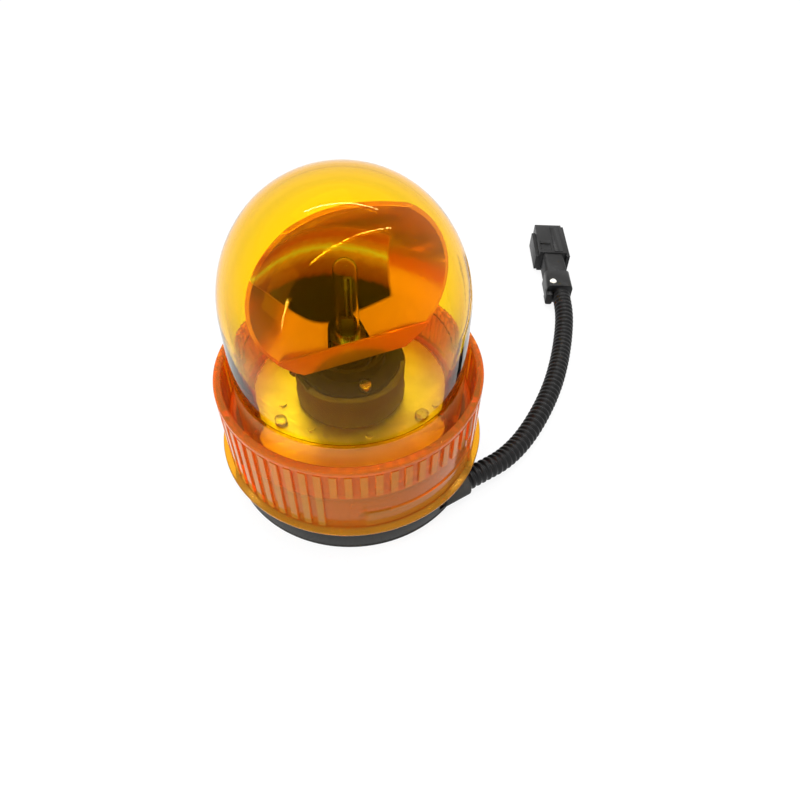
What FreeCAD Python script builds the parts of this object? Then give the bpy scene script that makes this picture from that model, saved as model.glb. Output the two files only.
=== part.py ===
"""Rotating beacon: a twist-off amber globe over a parabolic reflector turned by a small geared motor.

Millimetres, +Z up, origin at the centre of the base's underside. The lamp stands still on a central
post; the reflector turns round it on a drum with an internal ring gear. A short length of
corrugated conduit leaves the foot and ends in a two-pin connector.
"""
import FreeCAD, Part, Sketcher
import math
import os
import re

V = FreeCAD.Vector
UP = V(0, 0, 1)
doc = FreeCAD.newDocument("rotating_beacon")

# ---------------------------------------------------------------- driving dimensions
SIZES = {
    # base
    "foot_rad": 55.0, "foot_wall": 2.8, "foot_height": 15.2, "web_thick": 2.4,
    "wall_rad": 50.2, "wall_thick": 2.6, "wall_top": 32.0,
    "pad_thick": 1.5, "plate_thick": 1.5, "bolt_circle": 80.0, "bolt_hole": 3.0,
    "insert_rad": 4.2, "insert_length": 8.0, "boss_rad": 5.8, "cover_circle": 92.0,
    # bayonet that holds the globe
    "ramp_rad": 52.2, "ramp_low": 26.0, "ramp_high": 28.5, "lug_rad": 50.6, "lug_low": 22.6,
    "lug_high": 25.6,
    # globe
    "dome_foot_rad": 48.2, "dome_rad": 47.6, "spring_z": 88.5, "cap_height": 51.1,
    "shoulder_rad": 54.6, "globe_wall": 2.4, "step_z": 59.5, "step_deep": 0.4,
    "collar_rad": 55.0, "collar_bore": 52.7, "collar_top": 55.4, "rim_rad": 56.0, "rim_low": 53.0,
    "lip_rad": 58.5, "lip_low": 15.5, "lip_high": 17.0, "floor_low": 32.8, "floor_high": 35.0,
    "rib_width": 3.0, "rib_low": 18.2, "short_rib_low": 39.0, "label_rad": 55.6, "label_high": 27.0,
    # deck and lamp post
    "deck_rad": 44.0, "deck_thick": 1.2, "deck_top": 38.0, "deck_circle": 70.0,
    "post_rad": 9.5, "post_bore": 7.6, "post_top": 62.0, "step_rad": 10.9, "post_step": 45.0,
    "flange_rad": 18.0, "flange_thick": 1.2,
    # rotor
    "drum_rad": 23.4, "drum_wall": 1.5, "drum_low": 39.8, "drum_top": 58.0, "drum_web": 2.0,
    "bush_rad": 12.0, "bush_gap": 0.05, "bush_low": 46.0, "bush_high": 58.8,
    "focal": 15.0, "focus_z": 97.0, "mouth_rad": 37.2, "mirror_wall": 1.4, "mirror_lip": 0.5,
    "mirror_low": 65.0, "mirror_high": 128.5, "apron_high": 10.0, "lamp_hole": 11.4, "mirror_turn": 18.0,
    # gear train: module, tooth counts, face heights
    "module_size": 0.5, "ring_teeth": 72, "pinion_teeth": 12, "wheel_teeth": 40, "motor_teeth": 10,
    "ring_low": 39.9, "ring_high": 43.9, "wheel_low": 28.5, "wheel_high": 31.3, "slack": 0.09,
    "pin_rad": 1.0, "train_turn": 150.0,
    # motor
    "motor_rad": 10.0, "motor_low": 7.2, "motor_high": 27.2, "shaft_rad": 0.9, "well_wall": 1.8,
    "well_top": 24.0,
    # lamp
    "socket_rad": 7.0, "cap_low": 65.0, "cap_high": 72.0, "sleeve_rad": 5.2, "glass_rad": 4.7,
    # cord and connector
    "conduit_rad": 5.0, "gland_rad": 6.3, "gland_length": 13.0, "wire_rad": 1.1,
    "head_width": 16.4, "head_height": 13.4, "head_length": 29.5, "neck_width": 12.6,
    "neck_height": 11.6, "neck_length": 17.0, "tail_width": 14.6, "tail_height": 12.4,
    "tail_length": 14.5, "socket_width": 12.4, "socket_height": 8.8, "socket_deep": 15.0,
}
sheet = doc.addObject("Spreadsheet::Sheet", "dims")
for row, (alias, number) in enumerate(SIZES.items(), start=1):
    sheet.set(f"A{row}", alias)
    sheet.set(f"B{row}", str(number))
    sheet.setAlias(f"B{row}", alias)
doc.recompute()

ALIASES = re.compile(r"\b(" + "|".join(SIZES) + r")\b")
nodes = []


# ---------------------------------------------------------------- helpers
def formula(text):
    """Formula of sheet aliases, with the sheet's name put before each alias."""
    return ALIASES.sub(r"dims.\1", str(text))


def size(text):
    """Value of a formula, for sketch starting points and for Part's own functions."""
    return float(sheet.evalExpression(formula(text)))


def bind(obj, **sizes):
    """Bind properties of an object to formulas of the sheet."""
    for name, text in sizes.items():
        obj.setExpression(name, formula(text))
    return obj


def spot(obj, x=0, y=0, z=0, turn=0.0, axis=UP):
    """Place an object at formulas of the sheet, turned about an axis."""
    obj.Placement = FreeCAD.Placement(V(0, 0, 0), FreeCAD.Rotation(axis, turn))
    for name, text in (("x", x), ("y", y), ("z", z)):
        obj.setExpression(f"Placement.Base.{name}", formula(text))
    return obj


def cylinder(name, radius, height, **place):
    return spot(bind(doc.addObject("Part::Cylinder", name), Radius=radius, Height=height), **place)


def cone(name, low_radius, high_radius, height, **place):
    return spot(bind(doc.addObject("Part::Cone", name), Radius1=low_radius, Radius2=high_radius,
                     Height=height), **place)


def box(name, length, width, height, **place):
    return spot(bind(doc.addObject("Part::Box", name), Length=length, Width=width, Height=height),
                **place)


def joined(name, shapes):
    obj = doc.addObject("Part::MultiFuse", name)
    obj.Shapes = shapes
    return obj


def less(name, base, tools):
    """The base with one tool, or several fused tools, cut away."""
    obj = doc.addObject("Part::Cut", name)
    obj.Base = base
    obj.Tool = tools[0] if len(tools) == 1 else joined(f"{name}_tools", tools)
    return obj


def group(name, shapes):
    """Separate solids of one kind that share a node."""
    obj = doc.addObject("Part::Compound", name)
    obj.Links = shapes
    return obj


def node(obj, label):
    """Name a finished sub-part; its label is its file's name."""
    obj.Label = label
    nodes.append(obj)
    return obj


def around(radius, angle):
    """Place formulas of a point on a circle about the Z axis."""
    return {"x": f"({radius}) * cos({angle})", "y": f"({radius}) * sin({angle})"}


def clip_spot(angle):
    """Place formulas of a motor clip's screw, beside the motor."""
    at = around(MOTOR_ARM, TRAIN)
    return {"x": f"{at['x']} + {CLIP_ARM} * cos({angle})", "y": f"{at['y']} + {CLIP_ARM} * sin({angle})"}


def body(name):
    return doc.addObject("PartDesign::Body", name)


def origin_plane(owner, role):
    return next(f for f in owner.Origin.OriginFeatures if f.Role == role)


def outline(sketch, corners):
    """Closed outline in radius and height; a corner with a third item starts an arc of that radius,
    whose centre lies on the side that the fourth item names."""
    points = [V(size(c[0]), size(c[1]), 0) for c in corners]
    ends = []
    for i, corner in enumerate(corners):
        start, stop = points[i], points[(i + 1) % len(points)]
        if len(corner) == 2:
            sketch.addGeometry(Part.LineSegment(start, stop), False)
            ends.append((1, 2))
            continue
        radius = size(corner[2])
        side = -1 if corner[3] == "right" else 1
        chord = stop - start
        left = V(-chord.y, chord.x, 0).normalize()
        centre = (start + stop) / 2 + left * side * math.sqrt(radius ** 2 - chord.Length ** 2 / 4)
        first, last = (start, stop) if side > 0 else (stop, start)
        angles = [math.atan2(p.y - centre.y, p.x - centre.x) for p in (first, last)]
        sketch.addGeometry(Part.ArcOfCircle(Part.Circle(centre, UP, radius), *angles), False)
        ends.append((1, 2) if side > 0 else (2, 1))
        radius_rule = sketch.addConstraint(_rule("Radius", i, radius))
        sketch.setExpression(f"Constraints[{radius_rule}]", formula(corner[2]))
    for i, corner in enumerate(corners):
        after = (i + 1) % len(corners)
        sketch.addConstraint(_rule("Coincident", i, ends[i][1], after, ends[after][0]))
        for kind, text, line in (("DistanceX", corner[0], -2), ("DistanceY", corner[1], -1)):
            if str(text) == "0":
                sketch.addConstraint(_rule("PointOnObject", i, ends[i][0], line))
                continue
            number = sketch.addConstraint(_rule(kind, -1, 1, i, ends[i][0], size(text)))
            sketch.setExpression(f"Constraints[{number}]", formula(text))


def _rule(*items):
    return Sketcher.Constraint(*items)


def turned(owner, name, corners, angle=360.0, start=0.0, cut=False):
    """Revolved boss or groove of a body, from a profile in the XZ plane turned to a start angle."""
    sketch = owner.newObject("Sketcher::SketchObject", f"{name}_profile")
    sketch.AttachmentSupport = (origin_plane(owner, "XZ_Plane"), [""])
    sketch.MapMode = "FlatFace"
    sketch.AttachmentOffset = FreeCAD.Placement(V(0, 0, 0), FreeCAD.Rotation(V(0, 1, 0), start))
    outline(sketch, corners)
    feature = owner.newObject("PartDesign::Groove" if cut else "PartDesign::Revolution", name)
    feature.Profile = sketch
    feature.ReferenceAxis = (sketch, ["V_Axis"])
    feature.Angle = angle
    owner.Tip = feature
    doc.recompute()
    return feature


def patterned(owner, name, feature, count, angle):
    """Copies of a feature about the body's Z axis."""
    pattern = owner.newObject("PartDesign::PolarPattern", name)
    pattern.Originals = [feature]
    pattern.Axis = (origin_plane(owner, "Z_Axis"), [""])
    pattern.Angle = angle
    pattern.Occurrences = count
    owner.Tip = pattern
    doc.recompute()
    return pattern


def ring(owner_name, corners):
    """A body that is one revolved profile."""
    owner = body(owner_name)
    turned(owner, f"{owner_name}_turn", corners)
    return owner


def rectangle(low_r, high_r, low_z, high_z):
    return [(low_r, low_z), (high_r, low_z), (high_r, high_z), (low_r, high_z)]


def solid(name, shape):
    """Object whose shape comes from Part's own functions."""
    obj = doc.addObject("Part::Feature", name)
    obj.Shape = shape
    return obj


def screw(name, head_radius, head_height, shank_radius, shank_length, head_up=True, **place):
    """Pan-head screw standing on the given point, head above it or below it."""
    height = place.pop("z")
    head_z = height if head_up else f"{height} - {head_height}"
    shank_z = f"{height} - {shank_length}" if head_up else height
    head = cylinder(f"{name}_head", head_radius, head_height, z=head_z, **place)
    shank = cylinder(f"{name}_shank", shank_radius, shank_length, z=shank_z, **place)
    return joined(name, [head, shank])


def every(count, first=0.0):
    """Evenly spaced angles in degrees."""
    return [first + 360.0 * i / count for i in range(count)]


# ---------------------------------------------------------------- angles shared between pieces
TRAIN = SIZES["train_turn"]                  # direction of the gear train from the post
BOLTS = every(3, 90.0)                       # mounting bolts
PILLARS = every(3, -31.0)                    # deck screws
COVER_SCREWS = every(4, 15.0)                # bottom plate screws
POST_SCREWS = every(3, TRAIN + 60.0)
IDLER_ARM = "(module_size * (ring_teeth - pinion_teeth) / 2)"
MOTOR_ARM = f"({IDLER_ARM} + module_size * (wheel_teeth + motor_teeth) / 2)"
CLIP_SIDES = (TRAIN + 90.0, TRAIN - 90.0)    # motor clips, seen from the motor
CLIP_ARM = 14.6
UNDER_DECK = "(deck_top - deck_thick)"
WEB_LOW = "(foot_height - web_thick)"
COVER_TOP = "(pad_thick + plate_thick)"

# conduit: the gland's inner end and its level heading out of the foot
GLAND_START = V(36.0, -36.1, 8.0)
HEADING = V(math.cos(math.radians(27.0)), math.sin(math.radians(27.0)), 0)
GLAND_END = GLAND_START + HEADING * size("gland_length")


# ---------------------------------------------------------------- base: foot, web and globe seat
def base_housing():
    owner = body("housing_moulding")
    inner = "(wall_rad - wall_thick)"
    cavity = "(foot_rad - foot_wall)"
    turned(owner, "shell", [
        ("foot_rad - 0.8", "pad_thick"), ("foot_rad", "pad_thick + 0.8"),
        ("foot_rad", "foot_height - 0.6"), ("foot_rad - 0.6", "foot_height"),
        ("wall_rad", "foot_height"), ("wall_rad", "wall_top"), (inner, "wall_top"),
        (inner, "foot_height"), (0, "foot_height"), (0, WEB_LOW), (cavity, WEB_LOW),
        (cavity, "pad_thick")])
    # bayonet: a ramp over each lug, and a stop at each end of its travel
    edge = "(wall_rad - 0.3)"
    for name, start, angle, low in (("ramp", 30.0, 18.0, "ramp_low"), ("lock_stop", 27.0, 3.0, "lug_low - 1.6"),
                                    ("free_stop", 70.6, 3.0, "lug_low - 1.6")):
        bump = turned(owner, name, rectangle(edge, "ramp_rad", low, "ramp_high"), angle, start)
        patterned(owner, f"{name}_set", bump, 3, 360.0)

    adds, cuts = [], []
    well_x, well_y = around(MOTOR_ARM, TRAIN).values()
    adds.append(cylinder("well", "motor_rad + well_wall", "well_top - 5.4", x=well_x, y=well_y, z=5.4))
    cuts.append(cylinder("well_bore", "motor_rad + 0.05", "well_top", x=well_x, y=well_y, z="motor_low"))
    cuts.append(cylinder("brush_vent", 3.2, 4, x=well_x, y=well_y, z=4.6))
    adds.append(cylinder("pin_boss", 3.2, "wheel_low - 0.4 - foot_height", z="foot_height",
                         **around(IDLER_ARM, TRAIN)))
    cuts.append(cylinder("pin_hole", "pin_rad", "wheel_low", z=18, **around(IDLER_ARM, TRAIN)))
    for i, angle in enumerate(PILLARS):
        at = around("deck_circle / 2", angle)
        adds.append(cone(f"pillar_{i}", 4.4, 3.6, f"{UNDER_DECK} - foot_height", z="foot_height", **at))
        cuts.append(cylinder(f"pillar_hole_{i}", 1.3, 12, z=f"{UNDER_DECK} - 9", **at))
    for i, angle in enumerate(BOLTS):
        at = around("bolt_circle / 2", angle)
        adds.append(cylinder(f"boss_{i}", "boss_rad", f"{WEB_LOW} - {COVER_TOP} + 1", z=COVER_TOP, **at))
        cuts.append(cylinder(f"boss_hole_{i}", "insert_rad", "insert_length + 2",
                             z=f"{COVER_TOP} - 2", **at))
    for i, angle in enumerate(COVER_SCREWS):
        at = around("cover_circle / 2", angle)
        adds.append(cylinder(f"cover_boss_{i}", 3.2, f"{WEB_LOW} - {COVER_TOP} + 1", z=COVER_TOP, **at))
        cuts.append(cylinder(f"cover_hole_{i}", 1.3, 9, z=f"{COVER_TOP} - 1", **at))
    for i, angle in enumerate(CLIP_SIDES):
        cuts.append(cylinder(f"clip_hole_{i}", 1.0, 6, z=f"{WEB_LOW} - 1", **clip_spot(angle)))
    # stays inside the wall stiffen it between web and seal
    for i, angle in enumerate(every(12, 7.0)):
        adds.append(box(f"stay_{i}", 2.4, 1.6, f"wall_top - foot_height - 3", z="foot_height",
                        turn=angle, **around(f"{inner} - 2.2", angle)))
    cuts.append(cylinder("lead_hole", 4.0, "foot_height", z=4))
    cuts.append(gland_bore("notch", "gland_rad"))
    node(less("housing", joined("housing_adds", [owner] + adds), cuts), "base_housing")


def gland_bore(name, radius):
    """Level cylinder along the cable's heading, through the foot."""
    start = GLAND_START - HEADING * 3.0
    tool = cylinder(name, radius, "gland_length + 14", x=start.x, y=start.y, z=start.z)
    tool.Placement.Rotation = FreeCAD.Rotation(UP, HEADING)
    return tool


def bottom_cover():
    bolt_holes = [cylinder(f"pad_hole_{i}", "bolt_hole", "pad_thick + 2", z=-1,
                           **around("bolt_circle / 2", a)) for i, a in enumerate(BOLTS)]
    pad = ring("pad_disc", [(0, 0), ("foot_rad - 0.5", 0), ("foot_rad", 0.5),
                            ("foot_rad", "pad_thick"), (0, "pad_thick")])
    drain = cylinder("drain", 2.0, 4, z=-1)
    node(less("pad", pad, bolt_holes + [drain]), "mounting_pad")

    plate = cylinder("plate_disc", "foot_rad - foot_wall - 0.15", "plate_thick", z="pad_thick")
    cuts = [cylinder(f"plate_hole_{i}", "bolt_hole", 4, z=1, **around("bolt_circle / 2", a))
            for i, a in enumerate(BOLTS)]
    cuts += [cone(f"plate_sink_{i}", 2.9, 1.4, "plate_thick", z="pad_thick",
                  **around("cover_circle / 2", a)) for i, a in enumerate(COVER_SCREWS)]
    cuts += [gland_bore("plate_notch", "gland_rad + 0.1"), cylinder("plate_drain", 2.0, 4, z=1)]
    node(less("plate", plate, cuts), "bottom_plate")

    screws = []
    for i, angle in enumerate(COVER_SCREWS):
        at = around("cover_circle / 2", angle)
        head = cone(f"cover_head_{i}", 2.8, 1.3, "plate_thick", z="pad_thick", **at)
        shank = cylinder(f"cover_shank_{i}", 1.3, 7.0, z=COVER_TOP, **at)
        screws.append(joined(f"cover_screw_{i}", [head, shank]))
    node(group("cover_screws", screws), "bottom_screws")

    inserts = []
    for i, angle in enumerate(BOLTS):
        at = around("bolt_circle / 2", angle)
        sleeve = cylinder(f"sleeve_{i}", "insert_rad", "insert_length", z=COVER_TOP, **at)
        bore = cylinder(f"sleeve_bore_{i}", "bolt_hole", 20, z=0, **at)
        inserts.append(less(f"insert_{i}", sleeve, [bore]))
    node(group("inserts", inserts), "mounting_inserts")

    node(ring("seal", rectangle("wall_rad - 2.4", "wall_rad - 0.2", "wall_top", "floor_low - 0.15")),
         "globe_seal")


# ---------------------------------------------------------------- globe: dome, trough and ribbed collar
def globe():
    owner = body("globe_moulding")
    lean = "(shoulder_rad - dome_rad)"
    crown = f"((shoulder_rad ^ 2 - {lean} ^ 2 - cap_height ^ 2) / (2 * (shoulder_rad - cap_height)))"
    rise = f"(cap_height - {crown})"
    span = f"(shoulder_rad - {crown})"
    inner_crown = f"({crown} - globe_wall)"
    top = "spring_z + cap_height"
    inner_foot = "(dome_foot_rad - globe_wall)"
    turned(owner, "wall", [
        (0, top, crown, "right"),
        (f"{crown} * {lean} / {span}", f"spring_z + {rise} + {crown} * {rise} / {span}",
         "shoulder_rad", "right"),
        ("dome_rad", "spring_z"), ("dome_foot_rad", "floor_high"), ("collar_bore", "floor_high"),
        ("collar_bore", "collar_top - 0.6"), ("collar_bore + 0.6", "collar_top"),
        ("rim_rad - 0.6", "collar_top"), ("rim_rad", "collar_top - 0.6"), ("rim_rad", "rim_low"),
        ("collar_rad", "rim_low - 0.8"), ("collar_rad", "lip_high"), ("lip_rad", "lip_high"),
        ("lip_rad", "lip_low"), ("collar_bore", "lip_low"), ("collar_bore", "floor_low"),
        (f"{inner_foot} - step_deep", "floor_low"), (f"{inner_foot} - step_deep", "step_z"),
        (f"{inner_foot} - step_deep / 2", "step_z + 0.4"),
        ("dome_rad - globe_wall", "spring_z", "shoulder_rad - globe_wall", "left"),
        (f"{inner_crown} * {lean} / {span}", f"spring_z + {rise} + {inner_crown} * {rise} / {span}",
         inner_crown, "left"),
        (0, f"{top} - globe_wall")])
    # grip ribs at a 6 degree pitch; twelve of them stop short above the smooth panel
    pitch = 6.0
    rib_angle = math.degrees(SIZES["rib_width"] / SIZES["rim_rad"])
    panel_start, panel_ribs = -102.0, 12
    whole_ribs = round(360.0 / pitch) - panel_ribs
    for name, first, count, low in (("long_rib", panel_start + panel_ribs * pitch, whole_ribs, "rib_low"),
                                    ("short_rib", panel_start, panel_ribs, "short_rib_low")):
        rib = turned(owner, name, rectangle("collar_rad - 0.3", "rim_rad", low, "rim_low"),
                     rib_angle, first + (pitch - rib_angle) / 2)
        patterned(owner, f"{name}_set", rib, count, pitch * (count - 1))
    turned(owner, "label_pad", rectangle("collar_rad - 0.3", "label_rad", "lip_high - 0.2", "label_high"),
           59.0, -87.0)
    lug = turned(owner, "lug", rectangle("lug_rad", "collar_bore + 0.3", "lug_low", "lug_high"), 14.0, 30.5)
    patterned(owner, "lug_set", lug, 3, 360.0)
    node(owner, "globe")


# ---------------------------------------------------------------- deck, post and lamp
def deck():
    disc = cylinder("deck_disc", "deck_rad", "deck_thick", z=UNDER_DECK)
    cuts = [cylinder("deck_lead_hole", 4.0, 4, z=f"{UNDER_DECK} - 1"),
            cylinder("deck_gear_hole", 4.2, 4, z=f"{UNDER_DECK} - 1", **around(IDLER_ARM, TRAIN)),
            cylinder("deck_motor_hole", 4.2, 4, z=f"{UNDER_DECK} - 1", **around(MOTOR_ARM, TRAIN))]
    cuts += [cylinder(f"deck_hole_{i}", 1.6, 4, z=f"{UNDER_DECK} - 1", **around("deck_circle / 2", a))
             for i, a in enumerate(PILLARS)]
    cuts += [cylinder(f"deck_post_hole_{i}", 1.1, 4, z=f"{UNDER_DECK} - 1", **around(15.0, a))
             for i, a in enumerate(POST_SCREWS)]
    # raised bosses pressed in the sheet between the screws
    studs = [cylinder(f"stud_{i}", 1.7, "deck_thick + 1.0", z=UNDER_DECK, **around(r, a))
             for i, (r, a) in enumerate(((30.8, -168.0), (39.5, -19.0), (27.5, -130.0), (27.0, -76.0)))]
    node(less("deck_sheet", joined("deck_blank", [disc] + studs), cuts), "chassis_plate")
    node(group("deck_screws", [screw(f"deck_screw_{i}", 3.0, 2.0, 1.3, 8.0, z="deck_top",
                                     **around("deck_circle / 2", a)) for i, a in enumerate(PILLARS)]),
         "chassis_screws")


def lamp_post():
    owner = body("post_turning")
    high_flange = "(deck_top + flange_thick)"
    turned(owner, "tube", [
        ("flange_rad", "deck_top"), ("flange_rad", high_flange), ("step_rad", high_flange),
        ("step_rad", "post_step"), ("post_rad", "post_step"), ("post_rad", "bush_high + 0.2"),
        ("post_rad - 0.5", "bush_high + 0.2"), ("post_rad - 0.5", "bush_high + 1.0"),
        ("post_rad", "bush_high + 1.0"), ("post_rad", "post_top"), ("post_bore", "post_top"),
        ("post_bore", "post_step"), ("post_bore - 2", "post_step - 2"), ("post_bore - 2", "deck_top")])
    cuts = [cylinder("post_gear_gap", 5.2, 6, z="deck_top - 1", **around(IDLER_ARM, TRAIN))]
    cuts += [cylinder(f"post_hole_{i}", 1.3, 6, z="deck_top - 1", **around(15.0, a))
             for i, a in enumerate(POST_SCREWS)]
    node(less("post", owner, cuts), "lamp_post")
    node(group("flange_screws", [screw(f"flange_screw_{i}", 2.0, 1.2, 1.1, 5.0, z=high_flange,
                                       **around(15.0, a)) for i, a in enumerate(POST_SCREWS)]),
         "post_screws")
    node(ring("washer", rectangle("post_rad + 0.1", "bush_rad - 0.2", "post_step", "post_step + 0.8")),
         "thrust_washer")
    node(ring("snap_ring", rectangle("post_rad - 0.5", "post_rad + 1.8", "bush_high + 0.2",
                                     "bush_high + 1.0")), "retaining_ring")


def lamp():
    inner = "(socket_rad - 0.8)"
    shell = ring("socket_shell", [
        (inner, "post_top - 6"), ("post_bore", "post_top - 6"), ("post_bore", "post_top"),
        ("socket_rad", "post_top"), ("socket_rad", "cap_high - 0.8"), (inner, "cap_high - 0.8")])
    slots = [box(f"socket_slot_{i}", 12, 2.6, 4, x=0, y=f"-1.3 * {(1, -1)[i]}", z="post_top + 3.5",
                 turn=180.0 * i) for i in range(2)]
    node(less("socket_body", shell, slots), "lamp_socket")
    disc = ring("insulator_disc", rectangle(0, inner, "post_top - 1", "post_top + 1.5"))
    bore = cylinder("insulator_bore", 1.5, 6, z="post_top - 2")
    node(less("insulator", disc, [bore]), "socket_insulator")
    node(ring("plunger", [(0, "post_top - 2"), (1.5, "post_top - 2"), (1.5, "post_top + 1.5"),
                          (2.4, "post_top + 1.5"), (2.4, "cap_low"), (0, "cap_low")]),
         "contact_plunger")

    # halogen capsule: a flanged cap that sits on the socket, its light centre 25 mm above the flange
    floor = "(cap_high - 0.4)"
    node(ring("cap_shell", [
        (0, "cap_low"), ("sleeve_rad - 1.0", "cap_low"), ("sleeve_rad", "cap_low + 1.0"),
        ("sleeve_rad", "cap_high - 0.8"), ("socket_rad", "cap_high - 0.8"), ("socket_rad", "cap_high"),
        ("sleeve_rad", "cap_high"), ("sleeve_rad", "cap_high + 3"), ("sleeve_rad - 0.4", "cap_high + 3"),
        ("sleeve_rad - 0.4", floor), (0, floor)]), "bulb_cap")
    tip = "(focus_z + 6)"
    wall = 0.7
    node(ring("glass", [
        ("glass_rad", floor), ("glass_rad", tip, "glass_rad", "left"), (0, f"{tip} + glass_rad"),
        (0, f"{tip} + glass_rad - {wall}", f"glass_rad - {wall}", "right"),
        (f"glass_rad - {wall}", tip), (f"glass_rad - {wall}", floor)]), "bulb_glass")
    stem = box("stem", 5.0, 1.6, 9.0, x=-2.5, y=-0.8, z=floor)
    coil = cylinder("coil", 0.7, 5.4, z="focus_z - 2.7")
    low_lead = cylinder("low_lead", 0.3, "focus_z - cap_high - 10", z="cap_high + 8")
    high_lead = cylinder("high_lead", 0.3, "focus_z - cap_high - 5.2", x=1.9, z="cap_high + 8")
    bridge = box("bridge", 2.2, 0.6, 0.5, x=0, y=-0.3, z="focus_z + 2.5")
    node(joined("filament", [stem, coil, low_lead, high_lead, bridge]), "bulb_filament")


# ---------------------------------------------------------------- rotor: drum, ring gear, reflector
MIRROR_AZIMUTH = SIZES["mirror_turn"] - 90.0


def mouth_reach(radius):
    """Distance from the focus, along the bowl's axis, at which the parabola has this radius."""
    return radius ** 2 / (4 * size("focal")) - size("focal")


def paraboloid(depth_rad, back, lip=0.0):
    """Face between two parabolas, turned about the X axis: the bowl's wall, or the bowl filled."""
    focal, wall = size("focal"), back
    mouth = mouth_reach(depth_rad)
    inner = Part.BezierCurve()
    inner.setPoles([V(-focal, 0, 0), V(-focal, 0, depth_rad / 2), V(mouth, 0, depth_rad)])
    if not wall:
        edges = [inner.toShape(), Part.makeLine(V(mouth, 0, depth_rad), V(mouth, 0, 0)),
                 Part.makeLine(V(mouth, 0, 0), V(-focal, 0, 0))]
    else:
        outer = Part.BezierCurve()
        foot = V(mouth - lip, 0, depth_rad + wall * 0.6)
        outer.setPoles([V(-focal - wall, 0, 0), V(-focal - wall, 0, foot.z / 2), foot])
        corners = [V(mouth, 0, depth_rad), V(mouth, 0, foot.z + lip), V(mouth - lip, 0, foot.z + lip), foot]
        edges = [inner.toShape(), outer.toShape(), Part.makeLine(V(-focal - wall, 0, 0), V(-focal, 0, 0))]
        edges += [Part.makeLine(a, b) for a, b in zip(corners, corners[1:])]
    face = Part.Face(Part.Wire(Part.__sortEdges__(edges)))
    return face.revolve(V(0, 0, 0), V(1, 0, 0), 360)


def reflector():
    wall = spot(solid("bowl_wall", paraboloid(size("mouth_rad"), size("mirror_wall"), size("mirror_lip"))),
                z="focus_z", turn=MIRROR_AZIMUTH)
    slab = box("bowl_slab", 120, 120, "mirror_high - mirror_low", x=-60, y=-60, z="mirror_low")
    bowl = doc.addObject("Part::Common", "bowl")
    bowl.Base, bowl.Tool = wall, slab
    opened = less("bowl_opened", bowl, [cylinder("bowl_hole", "lamp_hole", 24, z="mirror_low - 6")])
    filled = spot(solid("bowl_filled", paraboloid(size("mouth_rad") + 6, 0)), z="focus_z",
                  turn=MIRROR_AZIMUTH)
    skirt = ring("skirt_tube", rectangle("lamp_hole + 1.8", "lamp_hole + 3.6", "drum_top", "focus_z - 8"))
    flange = ring("skirt_flange", rectangle("lamp_hole + 1.8", "drum_rad - 2", "drum_top", "drum_top + 1.6"))
    holes = [cylinder(f"mirror_hole_{i}", 1.5, 6, z="drum_top - 2", **around(18.4, a))
             for i, a in enumerate(every(3, MIRROR_AZIMUTH))]
    # flat apron across the foot of the mouth, in front of the lamp's socket
    edge = size("mouth_rad + 0.6 * mirror_wall + mirror_lip")
    disc = Part.makeCylinder(edge, 0.9, V(mouth_reach(size("mouth_rad")) - 0.2, 0, 0), V(1, 0, 0))
    apron = doc.addObject("Part::Common", "apron")
    apron.Base = spot(solid("apron_disc", disc), z="focus_z", turn=MIRROR_AZIMUTH)
    apron.Tool = box("apron_slab", 120, 120, "apron_high", x=-60, y=-60, z="mirror_low")
    body_part = joined("mirror_blank", [opened, less("skirt", skirt, [filled]), flange, apron])
    node(less("mirror", body_part, holes), "reflector")
    node(group("mirror_screws", [screw(f"mirror_screw_{i}", 2.4, 1.4, 1.3, 5.0, z="drum_top + 1.6",
                                       **around(18.4, a))
                                 for i, a in enumerate(every(3, MIRROR_AZIMUTH))]), "reflector_screws")


def turntable():
    inside = "(drum_rad - drum_wall)"
    under = "(drum_top - drum_web)"
    drum = ring("drum_moulding", [
        ("drum_rad", "drum_low"), ("drum_rad", "drum_top - 0.8"), ("drum_rad - 0.8", "drum_top"),
        ("bush_rad", "drum_top"), ("bush_rad", "bush_low + 1"), ("bush_rad + 1.8", "bush_low + 1"),
        ("bush_rad + 1.8", under), (inside, under), (inside, "drum_low")])
    fins = [box(f"fin_{i}", f"{inside} - bush_rad - 1.4", 1.2, f"{under} - ring_high - 0.5",
                z="ring_high + 1.0", turn=a, **around("bush_rad + 1.2", a))
            for i, a in enumerate(every(6, MIRROR_AZIMUTH + 30.0))]
    screw_bosses = [cylinder(f"drum_boss_{i}", 2.6, 6, z=f"{under} - 5.5", **around(18.4, a))
                    for i, a in enumerate(every(3, MIRROR_AZIMUTH))]
    holes = [cylinder(f"drum_hole_{i}", 1.3, 6, z="drum_top - 4", **around(18.4, a))
             for i, a in enumerate(every(3, MIRROR_AZIMUTH))]
    node(less("drum", joined("drum_blank", [drum] + fins + screw_bosses), holes), "turntable_drum")
    node(ring("bush", rectangle("post_rad + bush_gap", "bush_rad", "bush_low", "bush_high")), "rotor_bush")


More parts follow.
